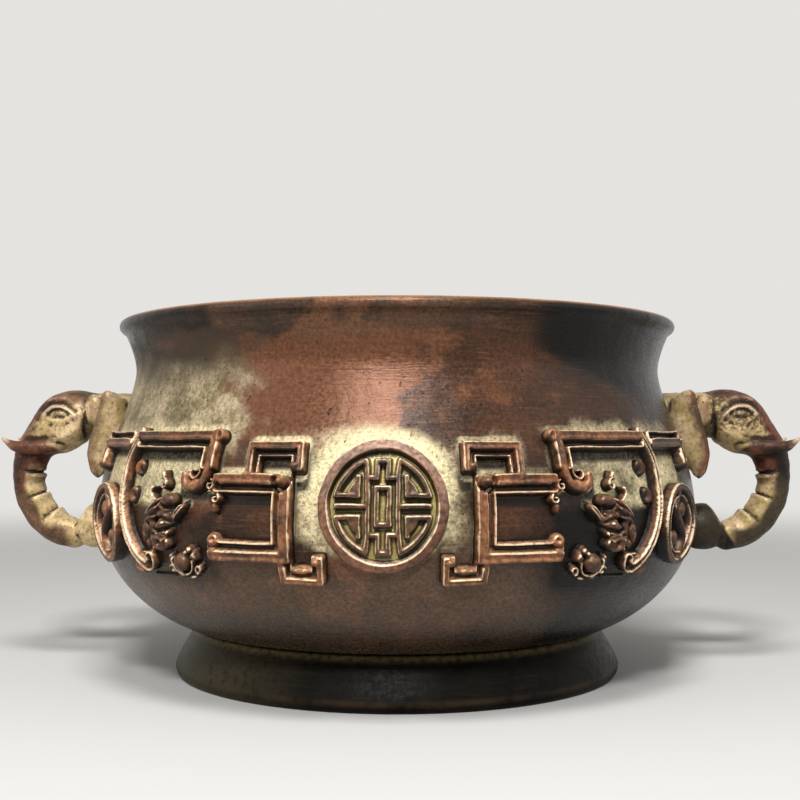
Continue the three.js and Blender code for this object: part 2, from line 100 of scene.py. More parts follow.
# Ornament: in its flat pattern x is the arc from the front centre line and y is the height over BAND_HEIGHT.
BAND_HEIGHT = 40
RELIEF = 2.35
GRID = 0.15
FRET_GRID = 0.13
SUNK = -0.7
EDGE_SLOPE = 6.5
FALL_SLOPE = 2.5
ROUNDEL_RADIUS = 11.55
ROUNDEL_WIDTH = 2.35
FRET_RADIUS = 9.2
SIDE_ACROSS = 67.2
SIDE_DROP = 4.8
SIDE_RADIUS = 7.8

# Handles: the head's profile plane is y = 0. The trunk bends round the middle of the finger loop.
VOXEL = 0.3
LOOP_X = 77
LOOP_Z = 43

# Rivets.
UPPER_RIVET = BELLY_HEIGHT + 20
LOWER_RIVET = BELLY_HEIGHT - 4.6
RIVET_LENGTH = 4.5
RIVET_HEAD = 3.4

# Turning steps.
BOWL_STEPS = 800
FOOT_STEPS = 360
RIVET_STEPS = 40

# The photograph's camera: distance from the axis, height, and degrees round towards +X.
CAMERA_REACH = 268.1
CAMERA_HEIGHT = 51.8
CAMERA_TURN = 2.1
CAMERA_LENS = 52.4
SENSOR_WIDTH = 36
HORIZON_SHIFT = 0.04875
AXIS_SHIFT = 0.00375


def rgb(red, green, blue):
    """An sRGB colour, 0 to 255, as the linear colour that Blender takes."""
    shares = [c / 255 for c in (red, green, blue)]
    return [c / 12.92 if c <= 0.04045 else ((c + 0.055) / 1.055) ** 2.4 for c in shares] + [1]


def new_object(name, data):
    made = bpy.data.objects.new(name, data)
    bpy.context.scene.collection.objects.link(made)
    return made


def make_camera():
    data = bpy.data.cameras.new("camera")
    data.lens = CAMERA_LENS
    data.sensor_width = SENSOR_WIDTH
    data.shift_x = AXIS_SHIFT
    data.shift_y = HORIZON_SHIFT
    data.clip_start = 0.01
    data.clip_end = 10
    turn = math.radians(CAMERA_TURN)
    reach = CAMERA_REACH * MM
    camera = new_object("camera", data)
    camera.location = (reach * math.sin(turn), -reach * math.cos(turn), CAMERA_HEIGHT * MM)
    camera.rotation_euler = (math.pi / 2, 0, turn)
    bpy.context.scene.camera = camera


make_camera()


# Shapes of the bare wall.


def drawn_radius(height):
    """The bowl's outer radius as drawn: lip, hollow neck, full belly and elliptical underbelly."""
    up = np.maximum((height - NECK_HEIGHT) / (RIM_HEIGHT - NECK_HEIGHT), 0)
    down = np.clip((NECK_HEIGHT - height) / (NECK_HEIGHT - BELLY_HEIGHT), 0, 1)
    drop = np.clip((BELLY_HEIGHT - height) / UNDER_HEIGHT, 0, 0.99)
    lip = NECK_RADIUS + (LIP_RADIUS - NECK_RADIUS) * up**1.5
    waist = NECK_RADIUS + (BELLY_RADIUS - NECK_RADIUS) * np.sin(np.pi * down / 2) ** 1.5
    under = BELLY_RADIUS - UNDER_DEPTH * (1 - np.sqrt(1 - drop**2))
    return np.where(height > NECK_HEIGHT, lip, np.where(height > BELLY_HEIGHT, waist, under))


WALL_HEIGHTS = np.arange(LAND_HEIGHT - 4, RIM_HEIGHT + 4, WALL_STEP)
EASING = np.exp(-((np.arange(-EASE_STEPS, EASE_STEPS + 1) / EASE_SIZE) ** 2))
WALL_RADII = drawn_radius(WALL_HEIGHTS)
WALL_RADII[EASE_STEPS:-EASE_STEPS] = np.convolve(WALL_RADII, EASING / EASING.sum(), mode="valid")


def wall_radius(height):
    """The bowl's outer radius at a height, with the drawn curves eased into each other."""
    return np.interp(height, WALL_HEIGHTS, WALL_RADII)


def wall_slope(height):
    return (wall_radius(height + SLOPE_STEP) - wall_radius(height - SLOPE_STEP)) / (2 * SLOPE_STEP)


def off_wall(height, lift):
    """Radius and height of points lifted off the wall at a height."""
    slope = wall_slope(height)
    length = np.sqrt(1 + slope**2)
    return wall_radius(height) + lift / length, height - lift * slope / length


def paired(first, second):
    return np.stack([first, second], axis=-1)


def on_wall(x, y, lift):
    """Points lifted off the wall at a place of the pattern."""
    radius, height = off_wall(BAND_HEIGHT + y, lift)
    angle = x / BELLY_RADIUS
    return np.stack([radius * np.sin(angle), -radius * np.cos(angle), height], axis=-1)


def waves(x, y, z, size, seed):
    """Smooth unevenness from -1 to 1, made of crossed waves of about this size."""
    chance = np.random.default_rng(seed)
    total = 0
    for _ in range(7):
        way = chance.normal(size=3)
        way *= 2 * np.pi / (size * chance.uniform(0.7, 1.5) * np.linalg.norm(way))
        total = total + np.sin(way[0] * x + way[1] * y + way[2] * z + chance.uniform(0, 2 * np.pi))
    return np.clip(total / 3.2, -1, 1)


def ramp(value, low, high):
    """0 at low, 1 at high, eased in between."""
    share = np.clip((value - low) / (high - low), 0, 1)
    return share * share * (3 - 2 * share)


def between(value, low, full, end, gone):
    """0 up to low, 1 from full to end, and 0 again past gone."""
    return ramp(value, low, full) * ramp(value, gone, end)


# Pieces.


def make_piece(name, points, faces, finish, nodes, weights):
    """A mesh piece from points in millimetres. It rides on the burner and stands for the CAD nodes."""
    mesh = bpy.data.meshes.new(name)
    mesh.from_pydata((np.asarray(points) * MM).tolist(), [], [list(map(int, face)) for face in faces])
    mesh.validate()
    for key, values in weights.items():
        attribute = mesh.attributes.new(key, "FLOAT", "POINT")
        attribute.data.foreach_set("value", np.ravel(values).astype(np.float32))
    mesh.shade_smooth()
    mesh.materials.append(finish)
    piece = new_object(name, mesh)
    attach(piece, "root")
    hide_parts(*nodes)


def both_sides(points):
    """The points on the right, and the same turned half round the axis to the left."""
    return [("right", points), ("left", points * np.array([-1, -1, 1]))]


def turned(profile, count):
    """Points of a profile turned about the axis, one ring of them for each point of the profile."""
    angles = np.arange(count) * 2 * np.pi / count
    radius, height = profile[:, 0][:, None], profile[:, 1][:, None]
    x, y = radius * np.sin(angles), -radius * np.cos(angles)
    return np.stack([x, y, height + 0 * x], axis=-1).reshape(-1, 3)


def ring_quads(lower, upper, count):
    """Quads between rings whose points are numbered from lower and from upper."""
    here, after = np.arange(count), (np.arange(count) + 1) % count
    quads = np.stack([lower + here, lower + after, upper + after, upper + here], axis=-1)
    return quads.reshape(-1, 4).tolist()


def lathe(profile, count):
    """Points and faces of a profile turned about the axis. Its first and last points lie on the axis."""
    points = turned(profile[1:-1], count)
    starts = np.arange(len(profile) - 2)[:, None] * count
    first, last = len(points), len(points) + 1
    far = len(points) - count
    ends = np.array([[0, 0, profile[0][1]], [0, 0, profile[-1][1]]])
    sides = [(i, (i + 1) % count) for i in range(count)]
    fans = [[first, j, i] for i, j in sides] + [[last, far + i, far + j] for i, j in sides]
    return np.vstack([points, ends]), ring_quads(starts[:-1], starts[1:], count) + fans


def closed_lathe(profile, count):
    """Points and faces of a closed section turned about the axis."""
    starts = np.arange(len(profile))[:, None] * count
    return turned(profile, count), ring_quads(starts, np.roll(starts, -1, axis=0), count)


# Strokes and lumps of the pattern, as heights over the wall. Outside a shape the height falls below it.


def stroke(x, y, points, square=7):
    """Signed distance from a stroke, positive to its left. A larger square gives squarer corners."""
    points = np.asarray(points, float)
    nearest = np.full(x.shape, 1e9)
    side = np.ones(x.shape)
    for start, end in zip(points[:-1], points[1:]):
        length = np.hypot(*(end - start))
        way = (end - start) / length
        along = (x - start[0]) * way[0] + (y - start[1]) * way[1]
        off = (y - start[1]) * way[0] - (x - start[0]) * way[1]
        beyond = np.maximum(np.maximum(-along, along - length), 0)
        distance = (np.abs(off) ** square + beyond**square) ** (1 / square)
        closer = distance < nearest
        nearest = np.where(closer, distance, nearest)
        side = np.where(closer, np.where(off < 0, -1, 1), side)
    return nearest * side


def curve(points, count=40):
    """Points along a smooth curve through the given ones."""
    points = np.asarray(points, float)
    padded = np.vstack([2 * points[0] - points[1], points, 2 * points[-1] - points[-2]])
    shares = np.linspace(0, 1, max(2, count // (len(points) - 1)), endpoint=False)
    made = []
    for a, b, c, d in zip(padded, padded[1:], padded[2:], padded[3:]):
        bend = 2 * a - 5 * b + 4 * c - d
        twist = 3 * b - a - 3 * c + d
        made += [0.5 * (2 * b + (c - a) * share + bend * share**2 + twist * share**3) for share in shares]
    return np.array([*made, points[-1]])


def crown(reach, height, half, sharp):
    """A rounded top where reach is under 1, and a steep fall outside it."""
    top = height * np.sqrt(np.clip(1 - np.minimum(reach, 1) ** sharp, 0, 1))
    top = np.minimum(top, EDGE_SLOPE * (1 - reach) * half)
    return np.where(reach < 1, top, -FALL_SLOPE * (reach - 1) * half)


def ridge(distance, centre, half, height, sharp=3):
    return crown(np.abs(distance - centre) / half, height, half, sharp)


def bead(x, y, points, half, height, sharp=2.4):
    """A rounded ridge along a line with round ends."""
    return ridge(stroke(x, y, points, 2), 0, half, height, sharp)


def lump(x, y, place, size, height, turn=0, sharp=2):
    """A dome on an ellipse, turned by degrees."""
    angle = math.radians(turn)
    x, y = x - place[0], y - place[1]
    u = (x * math.cos(angle) + y * math.sin(angle)) / size[0]
    v = (y * math.cos(angle) - x * math.sin(angle)) / size[1]
    return crown(np.hypot(u, v), height, min(size), sharp)


def lumps(x, y, rows):
    """Domes from rows of place, size, height and, where they matter, turn and sharpness."""
    return [lump(x, y, *row) for row in rows]


def groove(height, distance, width, depth):
    return height - depth * np.exp(-((distance / width) ** 2)) * (height > 0)


def dimple(height, x, y, place, width, depth, stretch=(1, 1)):
    distance = np.hypot((x - place[0]) / stretch[0], (y - place[1]) / stretch[1])
    return groove(height, distance, width, depth)


def together(*heights):
    return np.maximum.reduce(heights)


def melted(soft, *heights):
    """Several heights run into one mass, with rounded valleys between them."""
    return soft * np.log(sum(np.exp(np.clip(height, -8, 8) / soft) for height in heights))


def double_ridge(distance, width):
    """A broad flat bead on the outer side, a deep groove and a thin bead on the inner side."""
    floor = ridge(distance, 0, width / 2, 0.28 * RELIEF, 9)
    broad = ridge(distance, -0.19 * width, 0.32 * width, RELIEF, 7)
    broad = groove(broad, distance + 0.17 * width, 0.13 * width, 0.3)
    thin = ridge(distance, 0.385 * width, 0.125 * width, 0.85 * RELIEF, 2.6)
    return together(floor, broad, thin)


def twin_ridge(distance, width, height):
    """Two thin beads side by side with a deep groove between."""
    floor = ridge(distance, 0, width / 2, 0.22 * height, 9)
    left = ridge(distance, 0.34 * width, 0.16 * width, 0.9 * height, 2.6)
    right = ridge(distance, -0.3 * width, 0.2 * width, height, 2.6)
    return together(floor, left, right)


def curl(x, y, place, size, start, height, half=0.42):
    """A hooked curl that winds inwards about its place, from a start angle in degrees."""
    turn = np.radians(start + np.linspace(0, 330, 26))
    reach = size * np.linspace(1, 0.25, 26)
    line = paired(place[0] + reach * np.cos(turn), place[1] + reach * np.sin(turn))
    return bead(x, y, line, half, height)


def cut_lines(x, y, height, lines):
    """Grooves along smooth lines: each line has its points, width and depth."""
    for points, width, depth in lines:
        height = groove(height, stroke(x, y, curve(points, 20), 2), width, depth)
    return height


# The ornament's patterns, for the right side in front.

SCROLL_LUMPS = [
    ((15.7, 6.5), (1.3, 1), RELIEF + 0.3),
    ((11.6, -9.3), (1.3, 1), RELIEF + 0.3),
    ((14.3, -10.8), (2.3, 0.85), RELIEF),
    ((31.2, -0.6), (0.7, 1.3), 1.8),
    ((31.6, -8.4), (1.2, 1.5), RELIEF - 0.1),
]


def square_scroll(x, y):
    """An open frame beside the roundel, with a pearl at its corner, a hook above, one below, and curls."""
    frame_bar = stroke(x, y, [[30, 3.6], [17.9, 3.6], [17.9, -7.9], [30.8, -7.9]])
    upper = stroke(x, y, [[24, 5.4], [24, 9.6], [15.3, 9.6], [15.3, 6.9]])
    lower = stroke(x, y, [[11.4, -9.4], [11.4, -12], [17.3, -12], [17.3, -10.2]])
    bars = together(double_ridge(frame_bar, 3.8), double_ridge(upper, 2.9), double_ridge(lower, 2.7))
    pearl = np.hypot(x - 18, y - 4)
    end = lump(x, y, (31.4, -6.2), (1.5, 1.4), RELIEF + 0.2, 20)
    return together(
        groove(bars, pearl - 1.45, 0.3, 1.5),
        crown(pearl, RELIEF + 0.8, 1, 2.2),
        dimple(end, x, y, (31.2, -6), 0.35, 1.2),
        curl(x, y, (32.2, 3.2), 1, 100, RELIEF + 0.2, 0.48),
        curl(x, y, (30.9, 0.9), 0.9, 120, RELIEF),
        *lumps(x, y, SCROLL_LUMPS),
    )


def rail_scroll(x, y):
    """A rail under the neck that turns down at its inner end into a fat volute."""
    rail = stroke(x, y, [[54.6, 11.2], [33.8, 11.2], [33.8, 7.4]])
    tail = curve([[33.4, 9], [33.5, 5.8], [34.4, 3.6], [36.4, 2.6], [38.2, 3.3], [38.7, 4.8]])
    thin = curve([[35.2, 8], [35.2, 6], [35.7, 4.9], [36.8, 4.3], [37.6, 4.9], [37.3, 5.8], [36.5, 5.7]])
    knob = lump(x, y, (32.5, 12), (1.7, 1.4), RELIEF + 0.35)
    return together(
        double_ridge(rail, 3.6),
        bead(x, y, tail, 1, RELIEF, 3),
        bead(x, y, thin, 0.36, RELIEF - 0.3),
        lump(x, y, (36.6, 3.4), (1.6, 1.1), RELIEF - 0.7),
        dimple(knob, x, y, (32.3, 11.9), 0.5, 1.6),
    )


SWEEP = [
    [56, 12.6], [57.8, 8.8], [58.3, 5], [58, 0], [56.4, -5.6], [53.8, -9.6], [50.8, -11.6], [48.9, -11.2],
    [48.7, -10.1],
]


def outer_frame(x, y):
    """A short rail and leg towards the handle, and a long twin bar that sweeps down and hooks in."""
    rail = stroke(x, y, [[73.5, 7.4], [73.7, 11.2], [60.2, 11.2]])
    sweep = stroke(x, y, curve(SWEEP, 200), 2)
    leaf = lump(x, y, (54.2, -12.2), (2.6, 1.3), 1.8, 20)
    upper_eye = lump(x, y, (54.2, 6.2), (1.3, 1.6), 1.7, 20)
    lower_eye = lump(x, y, (55, 1), (1.2, 1.8), 1.6, 20)
    return together(
        double_ridge(-rail, 3.6),
        twin_ridge(sweep, 2.5, RELIEF - 0.2),
        ridge(stroke(x, y, [[47.8, -7.6], [48.2, -9.5], [52, -9.6]]), 0, 0.34, 1, 2.4),
        dimple(upper_eye, x, y, (53.8, 5.8), 0.55, 1.4, (1, 1.5)),
        dimple(lower_eye, x, y, (54.6, 0.8), 0.5, 1.3, (1, 1.6)),
        groove(leaf, stroke(x, y, [[52.6, -12.6], [55.6, -11.6]]), 0.35, 1.2),
        lump(x, y, (73.2, 6.2), (1.7, 1.2), RELIEF + 0.2),
    )


BEAST_MASS = [
    ((42.4, 0.2), (2.2, 1.5), 2.5, -5, 2.6),
    ((46.4, -1.4), (4.8, 1.5), 2.2, -30, 3),
    ((43.4, -2.6), (2.4, 2.2), 2, 0, 3),
    ((44, -4.6), (2.3, 1.3), 2.3, 5, 3),
    ((44.9, -7.1), (2.9, 1.9), 2.3, 8, 5),
    ((48.9, -5.6), (2.2, 3.2), 1.5, 12, 3),
]
BEAST_LINES = [
    ([[50.2, -3.4], [47.6, -1.4], [45.2, -0.4], [44, 0.6]], 0.24, 1.125),
    ([[51, -4.6], [48.6, -2.8], [46.2, -2.2], [44.9, -1.2]], 0.22, 1),
    ([[43.9, -0.6], [42.6, -0.9], [41.4, -0.6]], 0.26, 1.375),
    ([[45.2, -3], [44.2, -2.7], [43, -3], [42, -3.4]], 0.24, 1.25),
    ([[46.8, -4.9], [45, -5], [43.4, -4.9], [42.2, -4.6]], 0.3, 1.5),
    ([[47.4, -6], [45.6, -5.9], [43.6, -6.3], [42.2, -6]], 0.2, 0.75),
    ([[46.9, -6.4], [46.9, -7.8], [46.4, -8.8]], 0.24, 1.125),
    ([[43.2, -6.8], [43.4, -7.9], [42.9, -8.6]], 0.22, 1),
    ([[48.6, -3.9], [48.2, -5.4], [48.9, -7]], 0.3, 1.25),
    ([[50.2, -5.4], [49.6, -6.6], [50, -8]], 0.24, 1),
]
PAW_LINES = [
    ([[36, -7.6], [36.7, -8.6], [37.7, -9.4]], 0.24, 1),
    ([[38.4, -12.9], [40, -12.6], [41.6, -12.9]], 0.2, 0.75),
]
# On top of the mass: eye, nostril, cheek, lip and plume, then small lumps under and beside the ball.
BEAST_LUMPS = [
    ((42.3, -1.9), (0.34, 0.3), 2.2),
    ((45.1, -7.5), (0.3, 0.26), 1.8),
    ((43.2, -3.7), (0.9, 0.7), 2.6, -10),
    ((42.4, -5.4), (0.5, 0.9), 2.2, 10),
    ((44.3, 4.9), (0.6, 1.1), 2.1, -25, 3),
    ((40.6, -13.2), (1.3, 0.5), 1.5, 5),
    ((38, -13.2), (1.2, 0.45), 1.4, -5),
    ((42.9, -9.9), (0.6, 1), 1.4),
]


def beast_mass(x, y):
    mass = melted(0.3, *lumps(x, y, BEAST_MASS))
    mass = cut_lines(x, y, mass, BEAST_LINES)
    mass = dimple(mass, x, y, (42.3, -1.9), 0.6, 1.5)
    mass = dimple(mass, x, y, (44.6, -1.7), 0.45, 1.1)
    return dimple(mass, x, y, (45, -7.4), 0.6, 1.7, (1.2, 1))


def beast_paw(x, y):
    """A paw on a ball, with a collar round the ball's lower half."""
    ball_reach = np.hypot((x - 39.8) / 1.15, y + 10.5)
    paw = melted(
        0.25,
        crown(ball_reach / 1.8, 2.5, 1.8, 2.6),
        lump(x, y, (36.7, -8.7), (1.9, 0.95), 2.3, 60, 3),
        lump(x, y, (38.2, -8.7), (0.8, 0.7), 2),
    )
    collar = np.where(y < -9.9, ridge(ball_reach, 2.3, 0.34, 1.8, 2.4), SUNK)
    return together(cut_lines(x, y, paw, PAW_LINES), collar)


def beast(x, y):
    """A crouching beast: plume, round brow, long ear, muzzle and snout, neck and body, a paw on a ball."""
    ear = lump(x, y, (39.7, -1.7), (2.9, 0.8), 2.5, -52, 3.4)
    base_line = stroke(x, y, [[43.8, -13.6], [50.4, -13.7]])
    return together(
        beast_mass(x, y),
        beast_paw(x, y),
        groove(ear, stroke(x, y, [[38.2, 0.1], [41.2, -3.3]]), 0.25, 0.9),
        curl(x, y, (44, 3.1), 1.25, 60, 2.5),
        bead(x, y, curve([[47, 2.6], [47.2, 1.3], [46.2, 0.3]]), 0.42, 2.3),
        curl(x, y, (35.7, -11.6), 0.95, -60, 1.9, 0.36),
        curl(x, y, (42.6, -11.9), 0.9, 20, 1.7, 0.34),
        ridge(base_line, 0, 0.28, 0.5, 2.4),
        *lumps(x, y, BEAST_LUMPS),
    )


def side_roundel(x, y):
    """A small double ring near the handle, with a scroll inside."""
    x, y = x - SIDE_ACROSS, y + SIDE_DROP
    middle = SIDE_RADIUS - 1.4
    scroll = curve([[0.4, middle], [-2.2, 3.2], [0, 0.2], [2.2, -3], [0.4, -middle]])
    return together(
        double_ridge(middle - np.hypot(x, y), 2.8),
        bead(x, y, scroll, 0.8, 1.8),
        lump(x, y, (1.5, 2.6), (1.3, 2), 1.6, -15),
        lump(x, y, (-1.8, -2.8), (1.2, 1.8), 1.5, -15),
    )


def roundel_ring(x, y):
    """A band whose face slopes outwards from a crisp inner edge."""
    radius = np.hypot(x, y)
    band = ridge(radius, ROUNDEL_RADIUS - ROUNDEL_WIDTH / 2, ROUNDEL_WIDTH / 2, RELIEF, 9)
    return np.minimum(band, 2.25 - 0.5 * (radius - ROUNDEL_RADIUS + ROUNDEL_WIDTH))


def roundel_fret(x, y):
    """Fretwork inside the ring: a loop, uprights and arms, arches top and bottom, and curled fans."""
    x, y = np.abs(x), np.abs(y)
    radius = np.hypot(x, y)
    half, top = 0.64, 1.8
    turn = np.radians(np.linspace(13, 68, 14))
    rim = 8.15 * paired(np.cos(turn), np.sin(turn))
    lines = [
        [[1.05, -0.1], [1.05, 3], [-0.1, 3]],
        [[2.6, -0.1], [2.6, 4.75], [0.95, 4.75], [0.95, 7.6], [-0.1, 7.6]],
        [[2.6, 4.5], [3, 7.5]],
        [[3, 0], [7.9, 0]],
        [[4.2, 4.9], [4.2, 1.8], *rim],
    ]
    bars = [ridge(stroke(x, y, line), 0, half, top, 7) for line in lines]
    corner = together(3.95 - x, 1.5 - y, radius - 6.7)
    spur = np.where(corner < 0, np.minimum(top - 0.1, -6 * corner), -FALL_SLOPE * corner)
    # The plate rises under the ring, hidden inside it, so that the ring throws a painted shadow onto the
    # plate.
    plate = np.where(radius < FRET_RADIUS + 0.6, 0.28 + 1.5 * ramp(radius, 9.3, 9.7), -1)
    return together(plate, spur, *bars)


def blurred(values, times):
    for _ in range(times):
        padded = np.pad(values, 1, mode="edge")
        crossed = padded[:-2, 1:-1] + padded[2:, 1:-1] + padded[1:-1, :-2] + padded[1:-1, 2:]
        values = (crossed + 4 * values) / 8
    return values


def square_corners(field):
    return [field[:-1, :-1], field[1:, :-1], field[1:, 1:], field[:-1, 1:]]


def closed_patch(height):
    """The numbers of the grid points that lie over the wall, and faces that close them into a solid."""
    kept = together(*square_corners(height)) > SUNK + 0.15
    number = np.arange(height.size).reshape(height.shape)
    used, packed = np.unique(np.stack(square_corners(number), axis=-1)[kept], return_inverse=True)
    top = packed.reshape(-1, 4)
    bottom = top[:, ::-1] + len(used)
    edges = np.concatenate([top[:, [i, (i + 1) % 4]] for i in range(4)])
    known = {tuple(edge) for edge in edges.tolist()}
    rim = [(a, b) for a, b in known if (b, a) not in known]
    skirt = [[b, a, a + len(used), b + len(used)] for a, b in sorted(rim)]
    return used, top.tolist() + bottom.tolist() + skirt


def patch_weights(height, grid):
    """Weights of a height field, from its bends, its dips and the way that its faces look, mostly painted
    light and shade.
    """
    raised = np.maximum(height, 0)
    bend = height - blurred(height, round(0.145 / grid**2))
    dip = blurred(raised, round(0.9 / grid**2)) - raised
    rise = -np.gradient(blurred(height, 2), axis=1) / grid
    # The height just above each point, so that each bar throws a painted shadow downwards.
    above = together(*[np.roll(height, -step, axis=1) for step in range(1, round(1.1 / grid))])
    around = np.pad(height, 2, mode="edge")
    rows, columns = height.shape
    peak = together(*[around[i : i + rows, j : j + columns] for i in range(5) for j in range(5)])
    top_edge = ramp(height / np.maximum(peak, 0.1), 0.72, 0.93)
    cast_shadow = ramp(above - height, 0.7, 1.3)
    return {
        # Bright edges: partly wear, and partly a painted highlight that is strongest on edges that face up.
        "worn_and_glint": ramp(bend, 0.07, 0.24) * top_edge * (0.35 + 0.65 * ramp(rise, -0.6, 0.6)) * (height > 0.5),
        # Painted shade in recesses and dips, and a painted shadow below each bar.
        "recess_shade": together(ramp(-bend, 0.05, 0.4), 0.6 * ramp(dip, 0.25, 0.9), 0.95 * cast_shadow),
        "lift": np.clip(height / RELIEF, 0, 1),
        # A painted highlight on faces that look up, and painted shade on faces that look down.
        "upper": ramp(rise, -0.3, 1.2) * (height > 0.4),
        "under": ramp(-rise, 0.5, 1.8) * (height > 0.1),
    }


def height_patch(shape, low, high, grid):
    """A shape over part of the wall, as a closed patch: plan positions, lifts, faces and weights."""
    columns, rows = np.arange(low[0], high[0], grid), np.arange(low[1], high[1], grid)
    x, y = np.meshgrid(columns, rows, indexing="ij")
    wobble = 0.07 * waves(x, y, 0, 4, 5), 0.07 * waves(x, y, 9, 4, 6)
    height = shape(x + wobble[0], y + wobble[1])
    height = blurred(height + 0.03 * waves(x, y, 0, 1.6, 7) * (height > 0.2), 2)
    used, faces = closed_patch(height)
    plan = np.stack([x.ravel()[used], y.ravel()[used]], axis=-1)
    lift = np.maximum(height.ravel()[used], SUNK + 0.05)
    weights = {key: values.ravel()[used] for key, values in patch_weights(height, grid).items()}
    return plan, lift, faces, weights


def wall_piece(name, patch, finish, side=1, back=False):
    """A closed patch put on the wall, mirrored to the left side or turned to the back."""
    plan, lift, faces, weights = patch
    upper = on_wall(side * plan[:, 0], plan[:, 1], lift)
    lower = on_wall(side * plan[:, 0], plan[:, 1], SUNK)
    points = np.vstack([upper, lower])
    if back:
        points[:, :2] *= -1
    if side < 0:
        faces = [face[::-1] for face in faces]
    doubled = {key: np.concatenate([values, values]) for key, values in weights.items()}
    make_piece(name + "_relief", points, faces, finish, [name], doubled)


# Finishes.


def add_node(tree, kind, feeds, **settings):
    """A shader node with its settings, and its inputs fed by other nodes' outputs or by plain values."""
    node = tree.nodes.new("ShaderNode" + kind)
    for key, value in settings.items():
        setattr(node, key, value)
    for key, value in feeds.items():
        if isinstance(value, bpy.types.NodeSocket):
            tree.links.new(value, node.inputs[key])
        else:
            node.inputs[key].default_value = value
    return node


class Finish:
    """A patinated metal, built as nodes."""

    def __init__(self, name, metallic, gloss):
        self.material = bpy.data.materials.new(name)
        self.material.use_nodes = True
        self.tree = self.material.node_tree
        self.tree.nodes.clear()
        looks = {"Metallic": metallic, "Specular IOR Level": gloss}
        self.shader = self.add("BsdfPrincipled", looks)
        self.add("OutputMaterial", {"Surface": self.shader.outputs[0]})
        self.place = self.add("TexCoord", {}).outputs["Object"]

    def add(self, kind, feeds, **settings):
        """A node that takes the name of a weight for that weight."""
        for key, value in feeds.items():
            if isinstance(value, str):
                feeds[key] = self.add("Attribute", {}, attribute_name=value).outputs["Fac"]
        return add_node(self.tree, kind, feeds, **settings)

    def noise(self, size, detail=4, stretch=(1, 1, 1), rough=0.6):
        """Noise from 0 to 1 with features of this size in millimetres."""
        mapping = self.add("Mapping", {"Vector": self.place, "Scale": stretch})
        feeds = {"Vector": mapping.outputs[0], "Scale": 1 / (size * MM)}
        feeds |= {"Detail": detail, "Roughness": rough}
        return self.add("TexNoise", feeds).outputs["Fac"]

    def span(self, value, low, high, start=0, end=1):
        feeds = {"Value": value, "From Min": low, "From Max": high, "To Min": start, "To Max": end}
        return self.add("MapRange", feeds, interpolation_type="SMOOTHSTEP").outputs["Result"]

    def times(self, first, second):
        feeds = {0: first, 1: second}
        return self.add("Math", feeds, operation="MULTIPLY", use_clamp=True).outputs[0]

    def plus(self, first, second):
        feeds = {0: first, 1: second}
        return self.add("Math", feeds, operation="ADD", use_clamp=True).outputs[0]

    def mix(self, share, first, second):
        feeds = {"Factor": share, "A": first, "B": second}
        return self.add("Mix", feeds, data_type="RGBA").outputs["Result"]

    def coated(self, colour, *coats):
        """The colour under coats, given as the share that each covers and its own colour."""
        for share, coat in coats:
            colour = self.mix(share, colour, coat)
        return colour

    def tone(self, colour, value, low, high):
        """The colour made darker or lighter as a noise value goes from low to high brightness."""
        feeds = {"Value": self.span(value, 0.34, 0.66, low, high), "Color": colour}
        return self.add("HueSaturation", feeds).outputs[0]

    def bump(self, height, depth, under=None):
        feeds = {"Strength": 1, "Distance": depth * MM, "Height": height}
        if under is not None:
            feeds["Normal"] = under
        return self.add("Bump", feeds).outputs[0]

    def finished(self, colour, rough, normal, pit_size=0.8, pit_share=0.6, pit_depth=0.07):
        """The material, with small dark pits over its colour and its normal."""
        pits = self.pits(pit_size)
        if pit_share:
            colour = self.mix(self.times(pits, pit_share), colour, SHADE)
        self.tree.links.new(colour, self.shader.inputs["Base Color"])
        self.tree.links.new(rough, self.shader.inputs["Roughness"])
        self.tree.links.new(self.bump(pits, -pit_depth, normal), self.shader.inputs["Normal"])
        return self.material

    def pits(self, size):
        return self.span(self.noise(size, 2, rough=0.4), 0.3, 0.24)


DARK = rgb(44, 29, 20)
BROWN = rgb(74, 47, 31)
RED = rgb(98, 61, 40)
DUST = rgb(178, 162, 130)
OLIVE = rgb(128, 116, 82)
YELLOW = rgb(220, 205, 162)
SHADE = rgb(24, 18, 13)
BRIGHT = rgb(236, 206, 170)
GOLD = rgb(172, 118, 70)


def bowl_film(f, patch, fine):
    """The dust on the bowl: how thickly it lies, and its colour."""
    cloud = f.times(f.span(patch, 0.34, 0.54, 0.7, 1), f.span(fine, 0.34, 0.56, 0.55, 1))
    spread = f.plus(f.times(patch, 0.7), f.times("film", 0.55))
    colour = f.coated(
        f.mix(f.span(patch, 0.4, 0.6), OLIVE, DUST),
        ("near", YELLOW),
        (f.span(f.noise(0.3, 4, rough=0.65), 0.44, 0.34, 0, 0.55), rgb(66, 56, 40)),
        ("dusk", rgb(62, 53, 41)),
    )
    return f.times(f.span(spread, 0.44, 0.86), cloud), colour


